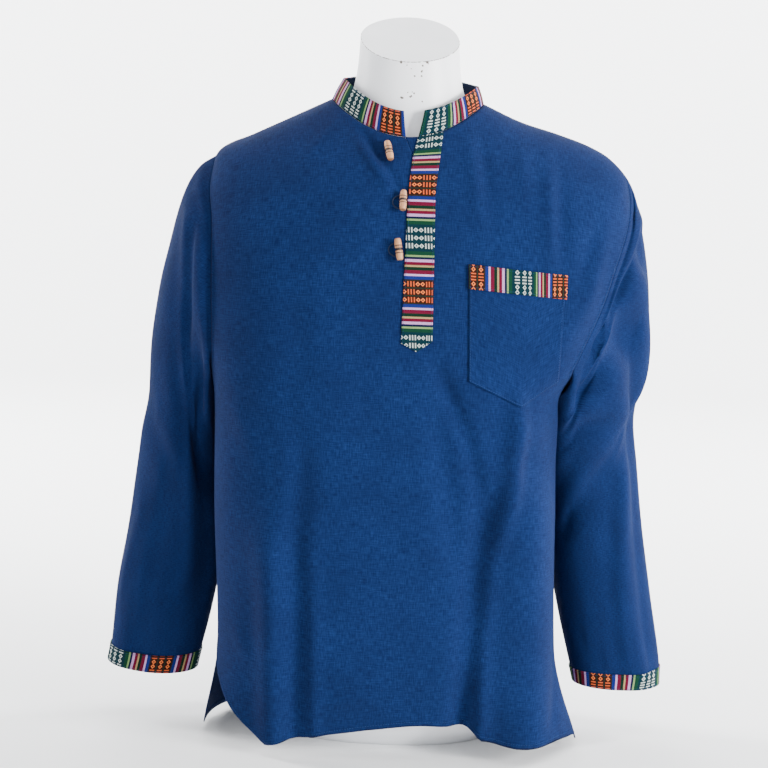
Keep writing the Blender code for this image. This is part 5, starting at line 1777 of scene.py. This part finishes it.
toggles = {}
profile = [*TOGGLE_PROFILE, *((-height, radius) for height, radius in TOGGLE_PROFILE[-2::-1])]
height, radius = np.array(profile).T
for number in TOGGLES:
    point, normal, upright = toggle_frame(number)
    under = TOGGLE_OVER_LOOP if number in LOOPED else TOGGLE_OVER_CLOTH
    middle = point + normal * (TOGGLE_RADIUS + under)
    turn = np.linspace(0, 2 * math.pi, TOGGLE_TURNS + 1)[:-1, None]
    spokes = np.cos(turn) * np.cross(upright, normal) + np.sin(turn) * normal
    rings = middle + upright * height[:, None, None] * TOGGLE_LENGTH
    rings = facing_out(rings + spokes[None] * radius[:, None, None] * MM)
    toggles[number] = add_piece(f"wooden_toggle_{number}", tube_mesh("toggle", rings), WOOD)
print("toggles", len(toggles))

# %% [markdown]
# ## Cord loops
#
# A loop of cord lies under its toggle and shows beside it. Its path is half an oval on the cloth.
# A section that isn't round turns as it goes along the path, which gives the twist of two plies
# without modelling either.

# %% Cord loops
CORD_TWISTS, CORD_SIDES, LOOP_POINTS = 7, 16, 81
PLIES = (0.86, 0.14)  # the mean of the cord's radius and its swing, as shares
loops = {}
for number in LOOPED:
    x, z, _ = TOGGLES[number]
    turn = np.linspace(-math.pi / 2, math.pi / 2, LOOP_POINTS)
    path, out = front_place(x - LOOP_REACH * np.cos(turn), z + LOOP_HEIGHT / 2 * np.sin(turn))
    path = path + out * (CORD / 2 + CORD_OVER_CLOTH)
    along = unit(np.gradient(path, axis=0))
    beside = unit(np.cross(along, out))
    over = np.cross(beside, along)
    section = np.linspace(0, 2 * math.pi, CORD_SIDES + 1)[None, :-1]
    twist = np.linspace(0, 2 * math.pi * CORD_TWISTS, len(path))[:, None]
    reach = CORD / 2 * (PLIES[0] + PLIES[1] * np.cos(2 * (section - twist)))[..., None]
    rings = path[:, None] + reach * (
        np.cos(section)[..., None] * beside[:, None] + np.sin(section)[..., None] * over[:, None]
    )
    loops[number] = add_piece(f"cord_loop_{number}", tube_mesh("loop", facing_out(rings)), CORD_FINISH)
print("loops", len(loops))

# %% [markdown]
# ## The dress form
#
# The torso is one closed shell: rings from the slanting cap of the neck down to the level base.
# An attribute of its mesh says where its paint is worn, along the front of the cap's rim. A few
# rings on the flat cap keep that wear at the rim, because an attribute spreads over a face.

# %% Dress form
FORM_TURNS = 160
RIM_STEPS = (0.0, 0.012, 0.03, 0.055)  # close rings under the rim, which keep its wear narrow
BELOW_RIM, NECK_RINGS, TORSO_RINGS = 0.09, 90, 100
FRONT_OF_RIM = (-0.012, 0.004)  # metres to the front, over which the wear grows
RIM_WEAR, RIM_WORN = 1.3, 0.9 * MM  # how worn the rim's paint is, and half the worn line's width
CAP_SHARES = (0.5, 0.9, 0.95, 0.975, 0.99)  # rings on the flat cap, which keep the wear at its rim
shoulder = FORM_NECKLINE + ARMHOLE_TOP
rows = np.concatenate(
    [
        RIM_STEPS,
        np.linspace(BELOW_RIM, shoulder, NECK_RINGS)[:-1],
        np.linspace(shoulder, FORM.last, TORSO_RINGS),
    ]
)
turn = np.linspace(0, 2 * math.pi, FORM_TURNS + 1)[:-1]
form_point = form_surface(rows[:, None], turn[None])
foot = form_point[-1].copy()
foot_middle = foot.mean(0)
foot[:, :2] = foot_middle[:2] + (foot[:, :2] - foot_middle[:2]) * FORM_FOOT
foot[:, 2] = 0.0
form_point = facing_out(np.concatenate([form_point, foot[None]]))
rim = form_point[0]
cap = rim.mean(0) + (rim - rim.mean(0)) * np.array(CAP_SHARES)[:, None, None]
torso = tube_mesh("torso_form", np.concatenate([cap, form_point]))
form = add_piece("torso_form", torso, WHITE_PAINT)
places = np.array([tuple(corner.co) for corner in form.data.vertices])
rim_distance = np.linalg.norm(places[:, None] - rim[None], axis=-1).min(1)
front_of_rim = smooth(*FRONT_OF_RIM, -places[:, 1])
rim_wear = RIM_WEAR * np.exp(-((rim_distance / RIM_WORN) ** 2)) * front_of_rim
keep_attribute(form.data, "wear", rim_wear)
print("form", len(form.data.polygons), "faces")

# %% [markdown]
# ## Stitches
#
# A running stitch follows every hem, seam and edge of trim. Each line is worked out on the
# cloth, a set way in from its edge. Geometry Nodes then turn the lines to curves, put a point
# at each stitch and place a small drop of thread there along the line. The stitches are drawn
# about twice as thick as real sewing thread, so that they show.

# %% Finding a line inside an edge
STITCH_LIFT = 0.12 * MM
TOPSTITCH, HEM_STITCH, SEAM_STITCH = 2.0 * MM, 5.6 * MM, 4.6 * MM


def inset(lines, distance):
    """The point that lies a set way along each line of points."""
    run = lengths_along(lines, 1)
    last = np.clip((run < distance).sum(1), 1, lines.shape[1] - 1)
    index = np.arange(len(lines))
    before, after = run[index, last - 1], run[index, last]
    share = ((distance - before) / (after - before))[:, None]
    return lines[index, last - 1] * (1 - share) + lines[index, last] * share


def trimmed(line, start, end):
    """A line of points, shortened at both of its ends."""
    run = np.concatenate([[0], np.cumsum(np.linalg.norm(np.diff(line, axis=0), axis=-1))])
    places = np.concatenate([[start], run[(run > start) & (run < run[-1] - end)], [run[-1] - end]])
    return np.stack([np.interp(places, run, line[:, k]) for k in range(3)], -1)


def edge_lines(grid, edges, distance):
    """Lines of sewing inside the named edges of a patch: top, low, first or last."""
    point, normal = grid
    lifted = point + normal * STITCH_LIFT
    across = lifted.transpose(1, 0, 2)
    sources = {"top": across, "low": across[:, ::-1], "first": lifted, "last": lifted[:, ::-1]}
    found = []
    for edge in edges:
        ends = ("first", "last") if edge in ("top", "low") else ("top", "low")
        start, end = (distance if other in edges else 0.0 for other in ends)
        found.append(trimmed(inset(sources[edge], distance), start, end))
    return found


print("topstitch in mm from an edge", TOPSTITCH / MM)

# %% Lines of sewing
sewing = []
vent_rows = slice(-VENT_ROWS - 1, None)
for point, normal in ((front_point, front_normal), (back_point, back_normal)):
    sewing += edge_lines((point, normal), ("low",), HEM_STITCH)
    sewing += edge_lines((point[vent_rows], normal[vent_rows]), ("first", "last"), HEM_STITCH)
    sewn_rows = slice(NECK_ROWS, NECK_ROWS + ARMHOLE_ROWS + 1)
    sewing += edge_lines((point[sewn_rows], normal[sewn_rows]), ("first", "last"), SEAM_STITCH)
shoulder_rows = slice(0, NECK_ROWS + 1)
sewing += edge_lines(
    (front_point[shoulder_rows], front_normal[shoulder_rows]), ("first", "last"), SEAM_STITCH
)
sewing += edge_lines((collar_outer, collar_normal), ("top", "low", "first", "last"), TOPSTITCH)
sewing += edge_lines(placket_grid, ("low", "first", "last"), TOPSTITCH)
sewing += edge_lines(pocket_grid, ("low", "first", "last"), TOPSTITCH)
sewing += edge_lines(band_grid, ("top", "low", "first", "last"), TOPSTITCH)
for outer, normal in cuff_grids.values():
    closed = np.concatenate([outer, outer[:, :1]], 1), np.concatenate([normal, normal[:, :1]], 1)
    sewing += edge_lines(closed, ("top", "low"), TOPSTITCH)
print("lines of sewing", len(sewing))

# %% The tree of the running stitch
STITCH_INPUTS = (
    # name, kind and value of each input
    ("Pitch", "NodeSocketFloat", 3.0 * MM),
    ("Length", "NodeSocketFloat", 2.3 * MM),
    ("Thickness", "NodeSocketFloat", 0.42 * MM),
    ("Thread", "NodeSocketMaterial", THREAD),
)


def stitch_tree():
    """Curves in, a drop of thread at each step along them out."""
    tree = bpy.data.node_groups.new("Running stitch", "GeometryNodeTree")
    tree.interface.new_socket("Geometry", in_out="INPUT", socket_type="NodeSocketGeometry")
    sockets = {}
    for name, kind, _ in STITCH_INPUTS:
        sockets[name] = tree.interface.new_socket(name, in_out="INPUT", socket_type=kind).identifier
    tree.interface.new_socket("Geometry", in_out="OUTPUT", socket_type="NodeSocketGeometry")
    given = node(tree, "NodeGroupInput").outputs
    curves = node(tree, "GeometryNodeMeshToCurve", {"Mesh": given["Geometry"]})
    steps = {"Curve": curves.outputs[0], "Length": given["Pitch"]}
    steps = node(tree, "GeometryNodeCurveToPoints", steps, mode="LENGTH")
    long, thick = (
        node(tree, "ShaderNodeMath", {0: given[name], 1: 0.5}, operation="MULTIPLY").outputs[0]
        for name in ("Length", "Thickness")
    )
    size = node(tree, "ShaderNodeCombineXYZ", {"X": thick, "Y": thick, "Z": long})
    drop = node(tree, "GeometryNodeMeshUVSphere", {"Segments": 5, "Rings": 4, "Radius": 1.0})
    turned = node(tree, "FunctionNodeAlignRotationToVector", {"Vector": steps.outputs["Tangent"]}, axis="Z")
    placed = {"Points": steps.outputs["Points"], "Instance": drop.outputs["Mesh"]}
    placed |= {"Rotation": turned.outputs[0], "Scale": size.outputs[0]}
    placed = node(tree, "GeometryNodeInstanceOnPoints", placed)
    real = node(tree, "GeometryNodeRealizeInstances", {"Geometry": placed.outputs[0]})
    finish = {"Geometry": real.outputs[0], "Material": given["Thread"]}
    finish = node(tree, "GeometryNodeSetMaterial", finish)
    node(tree, "NodeGroupOutput", {"Geometry": finish.outputs[0]})
    return tree, sockets


print("inputs of the stitch", len(STITCH_INPUTS))


# %% Running stitches
def sew(name, lines):
    """One mesh of running stitches along lines of points."""
    points = np.concatenate(lines)
    starts = np.cumsum([0, *(len(line) for line in lines)])
    edges = [(i, i + 1) for a, b in zip(starts, starts[1:]) for i in range(a, b - 1)]
    mesh = bpy.data.meshes.new(name)
    mesh.from_pydata(points.tolist(), edges, [])
    drawn = bpy.data.objects.new(name + "_lines", mesh)
    bpy.context.collection.objects.link(drawn)
    modifier = drawn.modifiers.new("Running stitch", "NODES")
    modifier.node_group, sockets = stitch_tree()
    for given, _, value in STITCH_INPUTS:
        modifier[sockets[given]] = value
    seen = drawn.evaluated_get(bpy.context.evaluated_depsgraph_get())
    sewn = bpy.data.objects.new(name, bpy.data.meshes.new_from_object(seen))
    bpy.data.objects.remove(drawn)
    bpy.context.collection.objects.link(sewn)
    sewn.data.shade_smooth()
    print(name, len(sewn.data.polygons), "faces")
    return sewn


stitches = sew("running_stitches", sewing)
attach(stitches, "root")

# %% [markdown]
# ## Putting the pieces on the body
#
# Every piece rides on the one body and stands for the solid it dresses. A table lists each
# piece of cloth with the size it is cut to where it shows; only its piece and node are used.


def dress(piece, node_name):
    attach(piece, "root")
    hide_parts(node_name)


for number in toggles:
    dress(toggles[number], f"toggle_{number}")
for number in loops:
    dress(loops[number], f"loop_{number}")
dress(form, "dress_form")
CUTS = (
    # piece, node, flat width and length, flat area, how it is held and on what
    (front, "front", (0.59, 0.78), 0.392, "hung", [form]),
    (back, "back", (0.645, 0.80), 0.461, "hung", [form]),
    (under_placket, "under_placket", (0.034, 0.11), None, "laid", [form]),
    (sleeves["left"], "sleeve_left", (0.50, 0.66), 0.19, "hung", [front, back]),
    (sleeves["right"], "sleeve_right", (0.50, 0.66), 0.19, "hung", [front, back]),
    (cuffs["left"], "cuff_left", (0.23, 0.026), None, "laid", [sleeves["left"]]),
    (cuffs["right"], "cuff_right", (0.23, 0.026), None, "laid", [sleeves["right"]]),
    (collar, "collar", (0.46, 0.030), None, "laid", [facing]),
    (facing, "collar_facing", (0.46, 0.030), None, "laid", [form]),
    (placket, "placket", (0.034, 0.25), None, "laid", [front]),
    (pocket, "chest_pocket", (0.12, 0.15), 0.0159, "laid", [front]),
    (band, "pocket_band", (0.12, 0.027), None, "laid", [pocket]),
)
for piece, node_name, flat, area, held, under in CUTS:
    dress(piece, node_name)
print("sheets of cloth", len(CUTS))
